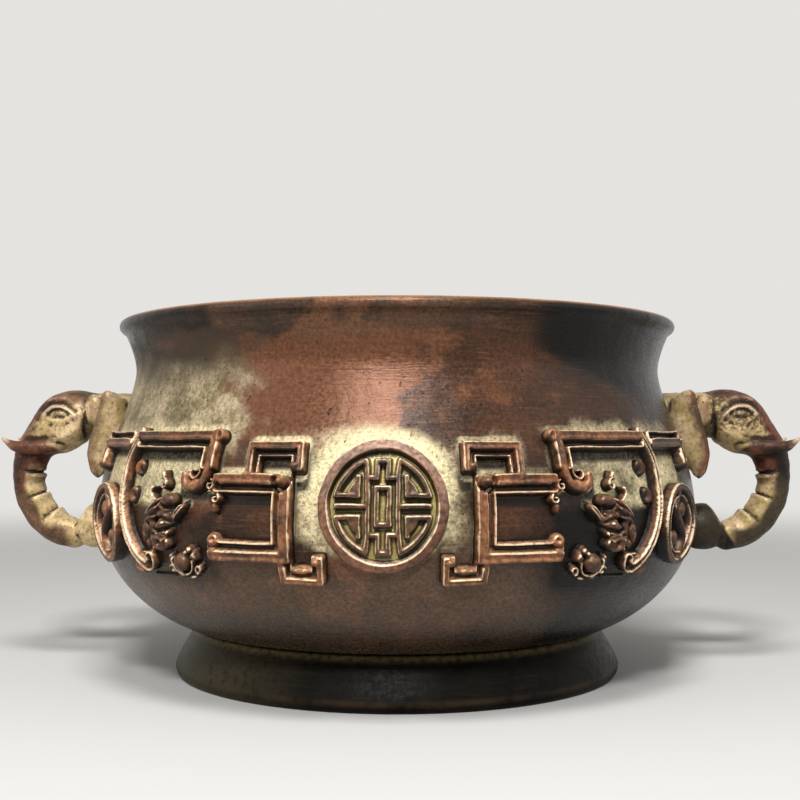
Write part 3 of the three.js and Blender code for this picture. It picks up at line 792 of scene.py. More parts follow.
def bowl_finish():
    """Red-brown metal: a thin mottled film where dust lies, pits, fine brush lines, and a worn rim."""
    f = Finish("bowl_patina", 0.32, 0.26)
    patch = f.noise(6, 8, rough=0.72)
    fine = f.noise(0.7, 5, rough=0.7)
    brush = f.noise(0.4, 4, (0.06, 0.06, 1))
    reach = f.plus(f.times(patch, 0.6), f.times("warm", 0.4))
    colour = f.coated(
        f.mix(f.span(f.noise(24, 3), 0.38, 0.62), DARK, BROWN),
        (f.span(reach, 0.5, 0.6), RED),
        # Greyed metal with a painted sheen low on the belly.
        ("grey_sheen", rgb(100, 82, 66)),
        (f.span(brush, 0.5, 0.74, 0, 0.4), rgb(120, 84, 56)),
        ("dark", rgb(13, 10, 7)),
    )
    thick, film = bowl_film(f, patch, fine)
    colour = f.coated(
        f.tone(colour, fine, 0.72, 1.3),
        (thick, f.tone(film, fine, 0.8, 1.14)),
        # Painted shade beside the bars and a painted shadow below them.
        (f.times("recess_shade", f.span(fine, 0.25, 0.6, 0.6, 1)), SHADE),
        (f.times(f.pits(0.8), 0.75), SHADE),
        (f.times("worn_and_glint", f.span(patch, 0.3, 0.6, 0.4, 1)), GOLD),
    )
    rough = f.plus(f.span(fine, 0.3, 0.7, 0.2, 0.34), f.times(thick, 0.32))
    grain = f.bump(fine, 0.06, f.bump(f.noise(9, 2), 0.35, f.bump(brush, 0.08)))
    return f.finished(colour, rough, grain, pit_share=0, pit_depth=0.08)


def relief_finish(name, high, low, shade, highlight):
    """Cast ornament: mottled tops, painted highlight on upward faces, painted shade on undersides and in
    recesses.
    """
    f = Finish(name, 0.35, 0.4)
    patch = f.noise(5, 4)
    fine = f.noise(0.9, 4)
    colour = f.coated(
        f.mix(f.span(patch, 0.42, 0.66), high, shade),
        # A painted highlight on faces that look up, and painted shade on faces that look down.
        (f.times("upper", 0.42), highlight),
        (f.times("under", 0.8), SHADE),
        # The low ground: dark as painted shade in the grooves, or pale as the fret's patina.
        (f.span("lift", 0.45, 0.12), f.mix(f.span(fine, 0.4, 0.66, 0, 0.6), low, SHADE)),
        # Painted shade in recesses and a painted shadow below bars.
        (f.times("recess_shade", f.span(patch, 0.25, 0.6, 0.6, 1)), SHADE),
    )
    # Bright edges, partly wear and partly a painted highlight.
    edge = f.times(f.span("worn_and_glint", 0.15, 0.7), f.span(fine, 0.32, 0.54, 0.3, 1))
    colour = f.mix(edge, f.tone(colour, fine, 0.6, 1.45), BRIGHT)
    rough = f.span(fine, 0.3, 0.7, 0.32, 0.48)
    return f.finished(colour, rough, f.bump(fine, 0.07), pit_depth=0.06)


def foot_finish():
    """Nearly black metal, partly painted shade, with olive dust in the crease under the bowl."""
    f = Finish("foot_patina", 0.15, 0.07)
    patch = f.noise(9, 4)
    fine = f.noise(1.2, 4)
    brush = f.noise(0.5, 3, (0.08, 0.08, 1))
    colour = f.coated(
        # The near-black base: the metal's dark patina with painted shade.
        f.mix(f.span(patch, 0.36, 0.62), rgb(8, 7, 6), rgb(19, 16, 12)),
        (f.span(brush, 0.5, 0.74, 0, 0.3), rgb(44, 38, 28)),
        (f.times("film", f.span(fine, 0.3, 0.6, 0.3, 0.9)), OLIVE),
        (f.times("worn_and_glint", f.span(patch, 0.3, 0.6, 0, 0.6)), rgb(64, 50, 36)),
    )
    rough = f.span(fine, 0.3, 0.7, 0.36, 0.52)
    grain = f.bump(fine, 0.06, f.bump(brush, 0.03))
    return f.finished(colour, rough, grain, pit_size=0.9, pit_share=0, pit_depth=0.08)


def handle_finish():
    """Beige dust on the handles, brown high points, speckles, black with painted shade, painted shade in
    recesses, and bright edges.
    """
    f = Finish("handle_patina", 0.18, 0.22)
    patch = f.noise(4, 4)
    fine = f.noise(0.8, 5)
    beige = f.mix(f.span(patch, 0.38, 0.62), rgb(212, 184, 142), rgb(182, 158, 106))
    beige = f.mix(f.span(fine, 0.54, 0.72, 0, 0.6), beige, rgb(104, 80, 54))
    spotted = f.span(f.times(fine, "spotted"), 0.26, 0.44)
    brown = f.mix(f.span(patch, 0.4, 0.62), rgb(98, 58, 40), rgb(58, 38, 28))
    colour = f.coated(
        f.tone(beige, fine, 1.12, 0.78),
        (f.times(spotted, 0.85), rgb(70, 52, 36)),
        (f.times("brown", f.span(fine, 0.2, 0.46, 0.7, 1)), brown),
        # Black, and painted shade on the shaded side, behind the ear and along the lid.
        ("black_and_shade", rgb(18, 14, 10)),
        # Painted shade in recesses.
        ("recess_shade", SHADE),
        # Bright edges, partly wear and partly a painted highlight.
        (f.times("worn_and_glint", 0.6), BRIGHT),
    )
    return f.finished(colour, f.span(fine, 0.3, 0.7, 0.38, 0.56), f.bump(fine, 0.07))


# Each ornament metal: the tops, the low ground, the mottling of the tops, and the painted highlight on faces
# that look up.
# The dark low grounds are painted shade in the grooves; the fret's pale ground is its patina.
RELIEF_COLOURS = {
    "relief_patina": [(120, 76, 48), (34, 27, 19), (66, 42, 28), (196, 148, 108)],
    # Darker metal for the pieces in front on the right: dark patina with painted shade.
    "relief_dark_patina_and_shade": [(70, 45, 30), (20, 16, 11), (32, 22, 15), (120, 86, 60)],
    "beast_patina": [(86, 56, 38), (22, 17, 12), (36, 25, 17), (132, 98, 70)],
    "fret_patina": [(86, 58, 40), (182, 166, 104), (50, 34, 24), (176, 146, 112)],
    "ring_patina": [(128, 88, 64), (60, 46, 32), (94, 62, 46), (230, 206, 190)],
}


# Bowl and foot.

# Lines of the ornament in the pattern's plane, with half their widths.
ORNAMENT_LINES = [
    ([[31.4, 3.6], [17.9, 3.6], [17.9, -7.9], [32.4, -7.9]], 1.9),
    ([[24, 3.9], [24, 9.6], [15.3, 9.6], [15.3, 5.8]], 1.45),
    ([[11.4, -8.2], [11.4, -12], [17.3, -12], [17.3, -9]], 1.35),
    ([[56.2, 11.2], [33.8, 11.2], [33.8, 4.2], [38.8, 4.2]], 1.8),
    ([[73.4, 5.8], [73.8, 11.2], [58.4, 11.2], [58, 0], [53.6, -10], [50.2, -11.2]], 1),
    ([[43.6, 2.6], [42.6, -7], [38.8, -10.4]], 2.6),
]


def ornament_distance(x, y):
    """Distance from the ornament, in the pattern's own plane."""
    distance = np.hypot(x, y) - ROUNDEL_RADIUS
    distance = np.minimum(distance, np.hypot(x - SIDE_ACROSS, y + SIDE_DROP) - SIDE_RADIUS)
    for points, half in ORNAMENT_LINES:
        distance = np.minimum(distance, np.abs(stroke(x, y, points, 4)) - half)
    return np.maximum(distance, 0)


def bowl_profile():
    """The turned outline from the underside's centre, up the outside, over the lip and down inside."""
    spigot = BORE_RADIUS - CLEARANCE
    under = LAND_HEIGHT - SPIGOT_DEPTH
    lip_start = RIM_HEIGHT - LIP_DEPTH
    heights = np.concatenate([np.arange(LAND_HEIGHT + 0.4, 60, 0.4), np.arange(60, lip_start, 0.5)])
    turn = np.radians(np.linspace(-50, 110, 12))
    lip_x = LIP_RADIUS - LIP_ROUND + LIP_ROUND * np.cos(turn)
    lip_z = RIM_HEIGHT - LIP_ROUND + LIP_ROUND * np.sin(turn)
    inner_edge = LIP_RADIUS - LIP_WIDTH
    corner = off_wall(np.array([FLOOR_HEIGHT]), -WALL)[0][0]
    return np.vstack(
        [
            [[0, under], [spigot * 0.5, under], [spigot - 0.2, under], [spigot, under + 0.2]],
            [[spigot, LAND_HEIGHT], [JOINT_RADIUS - 0.3, LAND_HEIGHT]],
            paired(*off_wall(heights, 0)),
            paired(lip_x, lip_z),
            [[inner_edge + 0.5, RIM_HEIGHT - 0.12], [inner_edge, RIM_HEIGHT - 0.8]],
            paired(*off_wall(np.arange(lip_start, FLOOR_HEIGHT + 3, -1.4), -WALL)),
            [[corner - 0.4, FLOOR_HEIGHT + 0.9], [corner - 2.2, FLOOR_HEIGHT + 0.1]],
            [[across, FLOOR_HEIGHT] for across in (corner - 6, 30, 15, 0)],
        ]
    )


def wall_spots(points):
    """Where each point of the bowl lies: its angle from the front, and its place in the pattern's plane."""
    x, y, z = points.T
    angle = np.degrees(np.arctan2(x, -y))
    folded = np.where(np.abs(angle) > 90, 180 - np.abs(angle), np.abs(angle))
    across, up = np.radians(folded) * BELLY_RADIUS, z - BAND_HEIGHT
    return SimpleNamespace(
        z=z,
        radius=np.hypot(x, y),
        angle=angle,
        folded=folded,
        across=across,
        up=up,
        distance=ornament_distance(across, up),
        uneven=waves(x, y, z, 22, 11),
        small=waves(x, y, z, 7, 12),
    )


def dust_near(s):
    """Dust round the ornament: thick beside the roundel and in the panels, none in the frames or low down."""
    across, up = s.across, s.up
    beside = 1.3 * np.exp(-np.maximum(np.hypot(across, up) - ROUNDEL_RADIUS, 0) / 5)
    close = 0.8 * np.exp(-s.distance / 1.8)
    panel = 0.95 * between(across, 36, 39, 72, 78) * ramp(up, -3.5, 0)
    thick = together(beside, close, panel)
    framed = between(across, 18.5, 20, 31, 34) * between(up, -7.5, -6, 1.2, 2.6)
    shaded = ramp(across, 29, 33) * ramp(up, 0.5, -3)
    thick = thick * between(up, -12, -4.5, 12, 18) * (1 - 0.9 * framed) * (1 - 0.95 * shaded)
    return thick * (0.85 + 0.25 * s.uneven)


def dust_neck(s):
    """Dust on the left of the neck in front, and likewise on the far side at the back."""
    around = np.minimum(np.abs(s.angle + 47), np.abs(s.angle - 128))
    side = ramp(around + 6 * s.uneven + 3 * s.small, 30, 16)
    return side * ramp(s.z + 2 * s.uneven + s.small, 77, 70) * ramp(s.z, 40, 50)


def dust_over(s):
    """A line of dust on top of each bar, weaker on the right."""
    over = ramp(ornament_distance(s.across, s.up - 0.9), 0.9, 0) * (s.distance > 0) * ramp(s.up, 2, 6)
    over = over * (1 - 0.4 * between(s.angle, 0, 25, 105, 135))
    return over * (np.hypot(s.across, s.up) > ROUNDEL_RADIUS + 0.4)


def warm_weight(s):
    """Red metal, most of all in the middle of the neck."""
    level = s.z + s.uneven
    middle = ramp(np.abs(s.folded - 2 + 5 * s.small), 42, 24) * between(level, 48, 56, 70, 73)
    # Less red on the right: part of the painted shade there.
    cooler = 0.4 * between(s.angle, 12, 30, 100, 130)
    return np.clip(0.3 + 0.4 * s.uneven + 0.2 * s.small + 0.55 * middle - cooler, 0, 1)


def grey_sheen_weight(s):
    """Greyed metal and a painted reflection of the floor low on the belly, and greyed metal a little on the
    lip.
    """
    low = 0.62 * ramp(s.z + 2 * s.uneven, 34, 27) * ramp(s.angle + 10 * s.uneven, 44, 20)
    return np.maximum(low, 0.22 * ramp(s.z + s.uneven, 70, 72.5) * ramp(s.angle, 30, 10))


def dark_weight(s):
    """Black patina at the lip's left end, painted shade on the right and under the belly, and painted shade
    with dark patina low between the scrolls.
    """
    # Painted shade on the right: nearly black above a painted shadow edge that falls across the neck towards
    # the handle, lighter below it, and darker again low on the belly.
    right = ramp(s.angle + 8 * s.uneven, 15, 35) * ramp(s.angle, 135, 105)
    above = ramp(s.z + s.uneven - 71 + 0.36 * (s.angle - 18), -1, 3)
    right = right * np.maximum(0.72 - 0.3 * ramp(s.z, 46, 54), 0.98 * above)
    lip = 0.85 * ramp(s.angle + 8 * s.small, -24, -40) * ramp(s.angle, -150, -120)
    lip = lip * ramp(s.z + s.small, 70, 73)
    # Painted shade under the belly.
    under = 0.12 * ramp(s.z + 3 * s.uneven, 34, 18) + 0.35 * ramp(s.z + s.uneven, 22, 14)
    # Painted shade and dark patina low between the scrolls.
    low = 0.6 * between(s.across, 30, 34, 70, 76) * between(s.up, -17, -13, -3, 0.5)
    return np.clip(right + lip + under + low, 0, 1)


def bar_shade_weight(s, over):
    """Painted shade close to each bar, and a painted shadow for a little way below it."""
    cast_shadow = ramp(ornament_distance(s.across, s.up + 1.3), 0.9, 0.1) * ramp(s.up, -9, -7)
    crease = np.maximum(0.8 * np.exp(-s.distance / 0.45) * (1 - over), cast_shadow) * (s.distance > 0)
    return crease * ramp(np.hypot(s.across, s.up), 11.8, 12.6)


def bowl_weights(points):
    s = wall_spots(points)
    outside = (s.radius > wall_radius(s.z) - 1.2) & (s.z > LAND_HEIGHT)
    near, neck, over = dust_near(s), dust_neck(s), dust_over(s)
    return {
        "film": np.clip(together(near, neck, 0.9 * over), 0, 1) * outside,
        "near": np.clip(np.maximum(1.2 * near - 0.3 * neck, over), 0, 1),
        "dusk": ramp(s.z + 2 * s.uneven + 1.5 * s.small, 60, 70.5),
        "warm": warm_weight(s),
        "grey_sheen": grey_sheen_weight(s) * outside,
        "dark": dark_weight(s) * outside + 0.55 * (~outside),
        # Painted shade beside the bars and a painted shadow below them.
        "recess_shade": bar_shade_weight(s, over) * outside,
        "worn_and_glint": ramp(s.z, 76.75, 77.3) * ramp(s.radius, 58.5, 60.5),
    }


def make_bowl(finish):
    """The bowl, with its outer wall drawn in by up to a tenth of a millimetre, unevenly, as on a casting."""
    points, faces = lathe(bowl_profile(), BOWL_STEPS)
    x, y, z = points.T
    outer = ramp(np.hypot(x, y), 44, 47) * ramp(z, LAND_HEIGHT + 0.5, 14)
    scale = 1 - 0.0016 * outer * (1 + waves(x, y, z, 34, 3)) / 2
    shaped = np.stack([x * scale, y * scale, z], axis=-1)
    make_piece("bowl_casting", shaped, faces, finish, ["bowl"], bowl_weights(points))


def foot_profile():
    """The foot's closed section: down the flare, round the toe, and up inside."""
    up = np.linspace(1, 0, 24)
    turn = np.radians(np.linspace(10, 80, 5))
    flare_x = FOOT_RADIUS - (FOOT_RADIUS - JOINT_RADIUS) * up**1.25
    flare_z = TOE_HEIGHT + (FOOT_HEIGHT - TOE_HEIGHT) * up
    bevel_x = FOOT_RADIUS - TOE_BEVEL * (1 - np.cos(turn))
    bevel_z = TOE_HEIGHT - TOE_HEIGHT * np.sin(turn)
    toe_bore = FOOT_RADIUS - TOE_BEVEL - FOOT_WALL
    return np.vstack(
        [
            paired(flare_x, flare_z),
            paired(bevel_x, bevel_z),
            [[FOOT_RADIUS - TOE_BEVEL - 0.2, 0], [toe_bore + 0.3, 0], [toe_bore, 0.3]],
            [[toe_bore - TOE_BEVEL, TOE_HEIGHT], [BORE_RADIUS, FOOT_HEIGHT - 2.4]],
            [[BORE_RADIUS, FOOT_HEIGHT]],
        ]
    )


def make_foot(finish):
    points, faces = closed_lathe(foot_profile()[::-1], FOOT_STEPS)
    x, y, z = points.T
    outside = np.hypot(x, y) > JOINT_RADIUS - 0.2
    weights = {
        # Dust in the crease under the bowl; the share on the left side is painted light.
        "film": (ramp(z, 8.6, 9.9) * 0.6 + 0.22 * ramp(x, -10, -40)) * outside,
        "worn_and_glint": ramp(np.abs(z - TOE_HEIGHT), 0.9, 0.1) * outside,
    }
    make_piece("foot_casting", points, faces, finish, ["foot_ring"], weights)


# Handles: each is carved as a distance field on one half, mirrored across the plane y = 0.


def ball(place, centre, radii):
    scaled = [(p - c) / r for p, c, r in zip(place, centre, radii)]
    outer = np.sqrt(sum(s * s for s in scaled))
    inner = np.sqrt(sum((s / r) ** 2 for s, r in zip(scaled, radii)))
    return outer * (outer - 1) / np.maximum(inner, 1e-6)


def limb(place, rows, count=30):
    """Distance from a tapering limb through rows of x, y, z, radius, the place along it, and its line."""
    line = curve(rows, count)
    nearest = np.full(place[0].shape, 1e9)
    along = np.zeros(place[0].shape)
    for i, (start, end) in enumerate(zip(line[:-1], line[1:])):
        way = end[:3] - start[:3]
        offset = [p - s for p, s in zip(place, start)]
        share = np.clip(sum(o * w for o, w in zip(offset, way)) / way.dot(way), 0, 1)
        distance = np.sqrt(sum((o - share * w) ** 2 for o, w in zip(offset, way)))
        distance -= start[3] + (end[3] - start[3]) * share
        closer = distance < nearest
        nearest = np.where(closer, distance, nearest)
        along = np.where(closer, i + share, along)
    return nearest, along, line


def merge(first, second, blend):
    share = np.clip(0.5 + 0.5 * (second - first) / blend, 0, 1)
    return second + (first - second) * share - blend * share * (1 - share)


def outline_distance(x, z, outline):
    """Signed distance from a closed outline, negative inside."""
    outline = np.asarray(outline, float)
    nearest = np.full(x.shape, 1e9)
    inside = np.zeros(x.shape, bool)
    for start, end in zip(outline, np.roll(outline, -1, axis=0)):
        way = end - start
        share = np.clip(((x - start[0]) * way[0] + (z - start[1]) * way[1]) / way.dot(way), 0, 1)
        nearest = np.minimum(nearest, np.hypot(x - start[0] - share * way[0], z - start[1] - share * way[1]))
        crosses = (start[1] > z) != (end[1] > z)
        level = start[0] + (z - start[1]) * way[0] / (way[1] if way[1] else 1e-9)
        inside ^= crosses & (x < level)
    return np.where(inside, -nearest, nearest)


EAR_OUTLINE = [
    [63.8, 62.4], [65.4, 62.5], [66.2, 59.4], [67.3, 55.2], [68.5, 50.6], [68.8, 47.4], [68.2, 44.4],
    [67.1, 43], [65, 45.4], [63, 49.4], [61.4, 53.4], [61, 57], [62, 60.6],
]
EAR_EDGE = [[65.2, 61.4], [65.7, 58.6], [66.7, 54.6], [67.7, 50.4], [67.8, 47.2], [66.9, 44.6]]
NECK = [[59, 0, 57.2, 5], [66, 0, 57.3, 5.1], [71, 0, 57.2, 5.1], [76, 0, 56.6, 5]]
TRUNK = [
    [79, 0, 56, 4.3], [82.2, 0, 52.6, 4.1], [84.5, 0, 49, 4], [85.5, 0, 45.6, 3.75],
    [85.7, 0, 42.3, 3.5], [85.1, 0, 39, 3.6], [83.7, 0, 36.2, 3.75], [81.5, 0, 33.4, 3.8],
    [78.5, 0, 31.2, 3.75], [75, 0, 29.9, 3.3],
]
TUSK = [
    [77.6, -3.6, 50.4, 1.4], [80.8, -4.3, 50, 1.6], [84.2, -4.9, 49.9, 1.55], [87, -5.2, 50.2, 1.25],
    [88.6, -5.3, 51, 0.8], [90.1, -5.3, 52, 0.28],
]
TRUNK_CREASES = [[82.2, 44.2], [81.3, 40], [79, 36.1]]
# Lines on the side of the head: points in x and z, width, and height above the surface.
FACE_LINES = [
    ([[72.9, 56.9], [74.2, 58.2], [76, 59], [78, 59.2], [79.6, 58.6], [80.6, 57.4]], 0.5, 0.5),
    ([[73.2, 58.2], [75, 59.8], [77.2, 60.3], [79.4, 59.9], [81, 58.6]], 0.6, -0.45),
    ([[72.8, 59.4], [75, 60.9], [77.6, 61.3], [80, 60.8]], 0.8, 0.3),
    ([[74.6, 57.5], [75.8, 58.3], [77.6, 58.5], [79.4, 57.5]], 0.24, -0.4),
    ([[74.6, 57.4], [76, 56.8], [77.8, 56.7], [79.6, 57.3]], 0.22, -0.14),
    ([[74.2, 56.6], [76.2, 55.9], [78.4, 55.9], [80, 56.5]], 0.4, 0.22),
    ([[74.8, 55.2], [76.8, 54.7], [79, 54.9]], 0.4, -0.18),
    ([[73.2, 53.6], [75.2, 52.4], [77.6, 51.9], [79.4, 52.2]], 0.6, 0.3),
    ([[77.4, 52.3], [79.8, 52.3], [83.4, 52.2], [85.6, 52]], 0.3, -0.24),
    ([[82.2, 56], [83.4, 55.2]], 0.25, -0.2),
    ([[83, 54.4], [84.2, 53.6]], 0.25, -0.2),
    ([[71.8, 61.6], [74.4, 62.2], [77, 61.9]], 0.4, -0.15),
]
LID = [[74.2, 57.7], [75.6, 58.6], [77.6, 58.8], [79.8, 57.5]]
EYE = (77, 57.6)
# The back edge of the face, where it stands over the neck: heights, and how far out the edge lies.
EDGE_Z = [50, 52, 55, 58, 60, 61.5, 62.7]
EDGE_X = [72.4, 72.1, 71.7, 71, 70, 68.9, 67.6]


def past_cuff(x, z):
    """Distance past the slanting edge of the cuff, positive towards the trunk."""
    return 0.86 * (x - 75.4) + 0.5 * (z - 29)


def head_field(place):
    """Skull, brow, cheek and jaw as a mask that stands wider than the neck behind it."""
    x, _, z = place
    skull = ball(place, (74.6, 0, 57), (8.6, 6.4, 6.1))
    skull = merge(skull, ball(place, (78.4, 0, 54.3), (6.3, 4.8, 5.6)), 1.5)
    skull = merge(skull, ball(place, (76, -2.9, 53.8), (3.9, 3.7, 3.4)), 1.4)
    skull = merge(skull, ball(place, (79.6, 0, 51.4), (4.8, 4.3, 2.7)), 1.5)
    mask = -merge(-skull, x - np.interp(z, EDGE_Z, EDGE_X), 0.8)
    return merge(mask, limb(place, NECK, 8)[0], 0.5)


def ear_field(place):
    """An ear that stands out from the neck, with a rolled front edge and a fold at its root."""
    x, y, z = place
    flat = outline_distance(x, z, EAR_OUTLINE)
    middle = -(7.6 + 0.62 * (x - 66) + 0.5 * np.cos((z - 52) / 6))
    across = np.abs(y - middle) * 0.85
    rounding = 1.5
    q1, q2 = flat + rounding, across - 1.75 + rounding
    petal = np.minimum(np.maximum(q1, q2), 0) + np.hypot(np.maximum(q1, 0), np.maximum(q2, 0)) - rounding
    rows = [[rx, -(7.9 + 0.62 * (rx - 66)), rz, 1.3] for rx, rz in EAR_EDGE]
    fold = ball(place, (69.2, -4.6, 58.4), (2, 1.6, 3.6))
    return merge(merge(petal, limb(place, rows, 20)[0], 0.7), fold, 0.3)


def trunk_field(place):
    """The trunk, with creases on its inner side and a swelling after each."""
    x, _, z = place
    trunk, along, line = limb(place, TRUNK, 36)
    centre = np.stack([np.interp(along, np.arange(len(line)), line[:, i]) for i in (0, 2)])
    reach = np.hypot(x - LOOP_X, z - LOOP_Z) - np.hypot(centre[0] - LOOP_X, centre[1] - LOOP_Z)
    inward = ramp(-reach, -1.5, 2.5)
    for crease in TRUNK_CREASES:
        step = along - np.argmin(np.hypot(line[:, 0] - crease[0], line[:, 2] - crease[1]))
        trunk = trunk + inward * 0.5 * np.exp(-((step / 0.45) ** 2))
        trunk = trunk - inward * 0.45 * ramp(step, 0.3, 1.2) * ramp(step, 4.2, 1.2)
    return trunk


def face_relief(x, z):
    """Height of the eye and of the lines on the side of the head."""
    lines = np.zeros(x.shape)
    for points, width, height in FACE_LINES:
        distance = np.abs(stroke(x, z, curve(points, 16), 2))
        lines = lines + height * np.exp(-((distance / width) ** 2))
    eye = np.hypot((x - EYE[0]) / 1.5, (z - EYE[1]) / 0.75)
    return lines + 0.3 * np.exp(-((eye / 0.7) ** 4))


def handle_field(x, y, z):
    place = (x, y, z)
    cuff = ball(place, (69.6, 0, 31.9), (6, 4.5, 5.3))
    cuff = np.maximum(cuff, past_cuff(x, z))
    field = merge(head_field(place), trunk_field(place), 1.6)
    field = field - face_relief(x, z) * ramp(-y, 1.2, 3)
    field = merge(field, cuff, 0.5)
    field = merge(field, ear_field(place), 0.4)
    lip = ball(place, (79.2, -3.4, 51.2), (3.4, 1.7, 1.3))
    field = merge(field, merge(limb(place, TUSK, 20)[0], lip, 0.6), 0.35)
    uneven = 0.06 * waves(x, y, z, 3.2, 21)
    return np.maximum(field + uneven, wall_radius(z) - 0.6 * WALL - np.hypot(x, y))


def handle_surface():
    """One handle on the +X side: its points, its faces, and how sharply it bends at each point."""
    grid_x = np.arange(58, 93.5, VOXEL)
    half_y = -np.arange(0, 14, VOXEL)[::-1]
    grid_z = np.arange(24.5, 65.5, VOXEL)
    half = handle_field(*np.meshgrid(grid_x, half_y, grid_z, indexing="ij"))
    field = np.concatenate([half, half[:, -2::-1]], axis=1).astype(np.float32)
    grid = openvdb.FloatGrid(background=3.0)
    grid.copyFromArray(np.clip(field, -3, 3))
    points, triangles, quads = grid.convertToPolygons(isovalue=0.0, adaptivity=0.0)
    corner = np.array([grid_x[0], half_y[0], grid_z[0]])
    points = points * VOXEL + corner
    faces = [face[::-1] for face in triangles.tolist() + quads.tolist()]
    for axis in (0, 1, 2, 0, 1, 2):
        field = (np.roll(field, 1, axis) + np.roll(field, -1, axis) + 2 * field) / 4
    bend = sum(np.roll(field, 1, a) + np.roll(field, -1, a) - 2 * field for a in range(3)) / VOXEL**2
    index = np.clip(np.round((points - corner) / VOXEL).astype(int), 0, np.array(field.shape) - 1)
    return points, faces, bend[tuple(index.T)]


def trunk_back(x, y, z):
    """The outer side of the trunk, away from the finger loop."""
    reach = np.hypot(x - LOOP_X, z - LOOP_Z) - 2.6 * ramp(x, 85, 80) * ramp(z, 38, 34)
    return ramp(reach + 0.5 * waves(x, y, z, 3, 41), 7.7, 9.4) * ramp(z, 51, 49) * ramp(x, 74, 77)


def ear_rim(x, y, z):
    edge = ramp(stroke(x, z, curve(EAR_EDGE), 2) + 0.3 * waves(x, y, z, 3, 45), -1.4, 0)
    return edge * ramp(np.abs(y), 5.5, 6.5) * between(x, 63, 65, 69.6, 70.2)


def brown_weight(x, y, z, shaded_side):
    """Brown high points: crown, snout, tusks, chin, the trunk's upper part and back, and the ear's rim, with
    a little painted shade over the shaded side.
    """
    crown_edge = 58.4 + 1.2 * shaded_side
    crown_level = z + 0.3 * (x - 74) + 0.6 * waves(x, y, z, 3, 42)
    parts = [
        0.9 * ramp(crown_level - crown_edge, 0, 2.2) * ramp(x, 68, 70),
        0.8 * ramp(x + 0.45 * z + 0.5 * waves(x, y, z, 2.5, 43), 105.6, 108.2) * ramp(z, 50.5, 52),
        ramp(np.abs(y), 2.6, 3.6) * ramp(x, 77.5, 80.5) * ramp(np.abs(z - 50.4), 2.4, 1.6),
        0.6 * between(z, 45.8, 47.6, 48.8, 50.4) * ramp(x, 77, 79),
        0.85 * ramp(z + 0.8 * waves(x, y, z, 4, 44), 39, 46) * ramp(z, 50.5, 49.5) * ramp(x, 76, 79),
        0.9 * trunk_back(x, y, z) * (1 - shaded_side),
        0.75 * ear_rim(x, y, z),
        # A little painted shade over the shaded side.
        0.22 * shaded_side,
    ]
    return np.clip(sum(parts), 0, 1)


def black_and_shade_weight(x, y, z, shaded_side):
    """Black: painted shade on the shaded side's trunk and cuff and on the neck behind the ear, a painted
    shadow along the lid, and the pupil.
    """
    beside = np.abs(y) > 2.5
    parts = [
        0.9 * trunk_back(x, y, z) * shaded_side,
        0.95 * ramp(past_cuff(x, z), 0.3, -0.1) * ramp(z, 40, 38.5) * shaded_side,
        0.75 * between(x, 68.6, 69.4, 71.4, 72.2) * between(z, 48, 50, 54.5, 57.5),
        ramp(np.hypot((x - EYE[0]) / 1.3, z - EYE[1]), 0.75, 0.35) * beside,
        0.8 * ramp(np.abs(stroke(x, z, curve(LID), 2)), 0.42, 0.1) * beside,
    ]
    return np.clip(sum(parts), 0, 1)


def make_handles(finish):
    """Both handles. The right one shows in front its side with painted shade, and the left one its paler
    side.
    """
    points, faces, bend = handle_surface()
    x, y, z = points.T
    # The side of each handle that takes painted shade.
    shaded_side = ramp(y, 1.5, -1.5)
    weights = {
        "brown": brown_weight(x, y, z, shaded_side),
        "spotted": 0.42 + (0.1 + 0.3 * shaded_side) * ramp(z, 50, 58) * ramp(x, 69, 71),
        "black_and_shade": black_and_shade_weight(x, y, z, shaded_side),
        # Painted shade in recesses.
        "recess_shade": ramp(-bend, 0.2, 0.7) * 0.9,
        # Bright edges, partly wear and partly a painted highlight.
        "worn_and_glint": ramp(bend, 0.9, 2.2),
    }
    for side, placed in both_sides(points):
        make_piece(f"elephant_{side}", placed, faces, finish, [f"elephant_handle_{side}"], weights)


def rivet_profile():
    """A rivet on its own axis, from its end in the handle to its domed head inside the bowl."""
    under = -(WALL + CLEARANCE)
    turn = np.linspace(0, np.pi / 2, 9)[1:-1]
    shank = [[0, RIVET_LENGTH], [1.7, RIVET_LENGTH], [2, RIVET_LENGTH - 0.3], [2, under]]
    edge = [[RIVET_HEAD - 0.2, under - 0.5], [RIVET_HEAD, under - 0.8]]
    dome = [[RIVET_HEAD * math.cos(a) ** 0.8, under - 0.7 - 1.6 * math.sin(a)] for a in turn]
    return np.array([*shank, *edge, *dome, [0, under - 2.3]])


def make_rivets(finish):
    """Peened rivet heads inside the bowl, with their shanks through the wall."""
    flat, faces = lathe(rivet_profile(), RIVET_STEPS)
    flat[:, 2] += 0.07 * waves(flat[:, 0], flat[:, 1], 0, 2.4, 31) * (flat[:, 2] < -(WALL + CLEARANCE) - 0.9)
    faces = [face[::-1] for face in faces]
    weights = {"lift": np.ones(len(flat)), "worn_and_glint": ramp(-flat[:, 2], 4.6, 5.4) * 0.4}
    for place, height in [("upper", UPPER_RIVET), ("lower", LOWER_RIVET)]:
        slope = wall_slope(height)
        out = np.array([1, 0, -slope]) / math.hypot(1, slope)
        side, rise = np.array([0, 1, 0]), np.array([-out[2], 0, out[0]])
        seat = np.array([wall_radius(height), 0, height])
        points = seat + flat[:, :1] * side + flat[:, 1:2] * rise + flat[:, 2:] * out
        for side_name, placed in both_sides(points):
            rivet = f"{place}_rivet_{side_name}"
            make_piece(f"{rivet}_peened", placed, faces, finish, [rivet], weights)


METALS = {}
for name, colours in RELIEF_COLOURS.items():
    METALS[name] = relief_finish(name, *[rgb(*colour) for colour in colours])

make_bowl(bowl_finish())
make_foot(foot_finish())
make_handles(handle_finish())
make_rivets(METALS["relief_patina"])

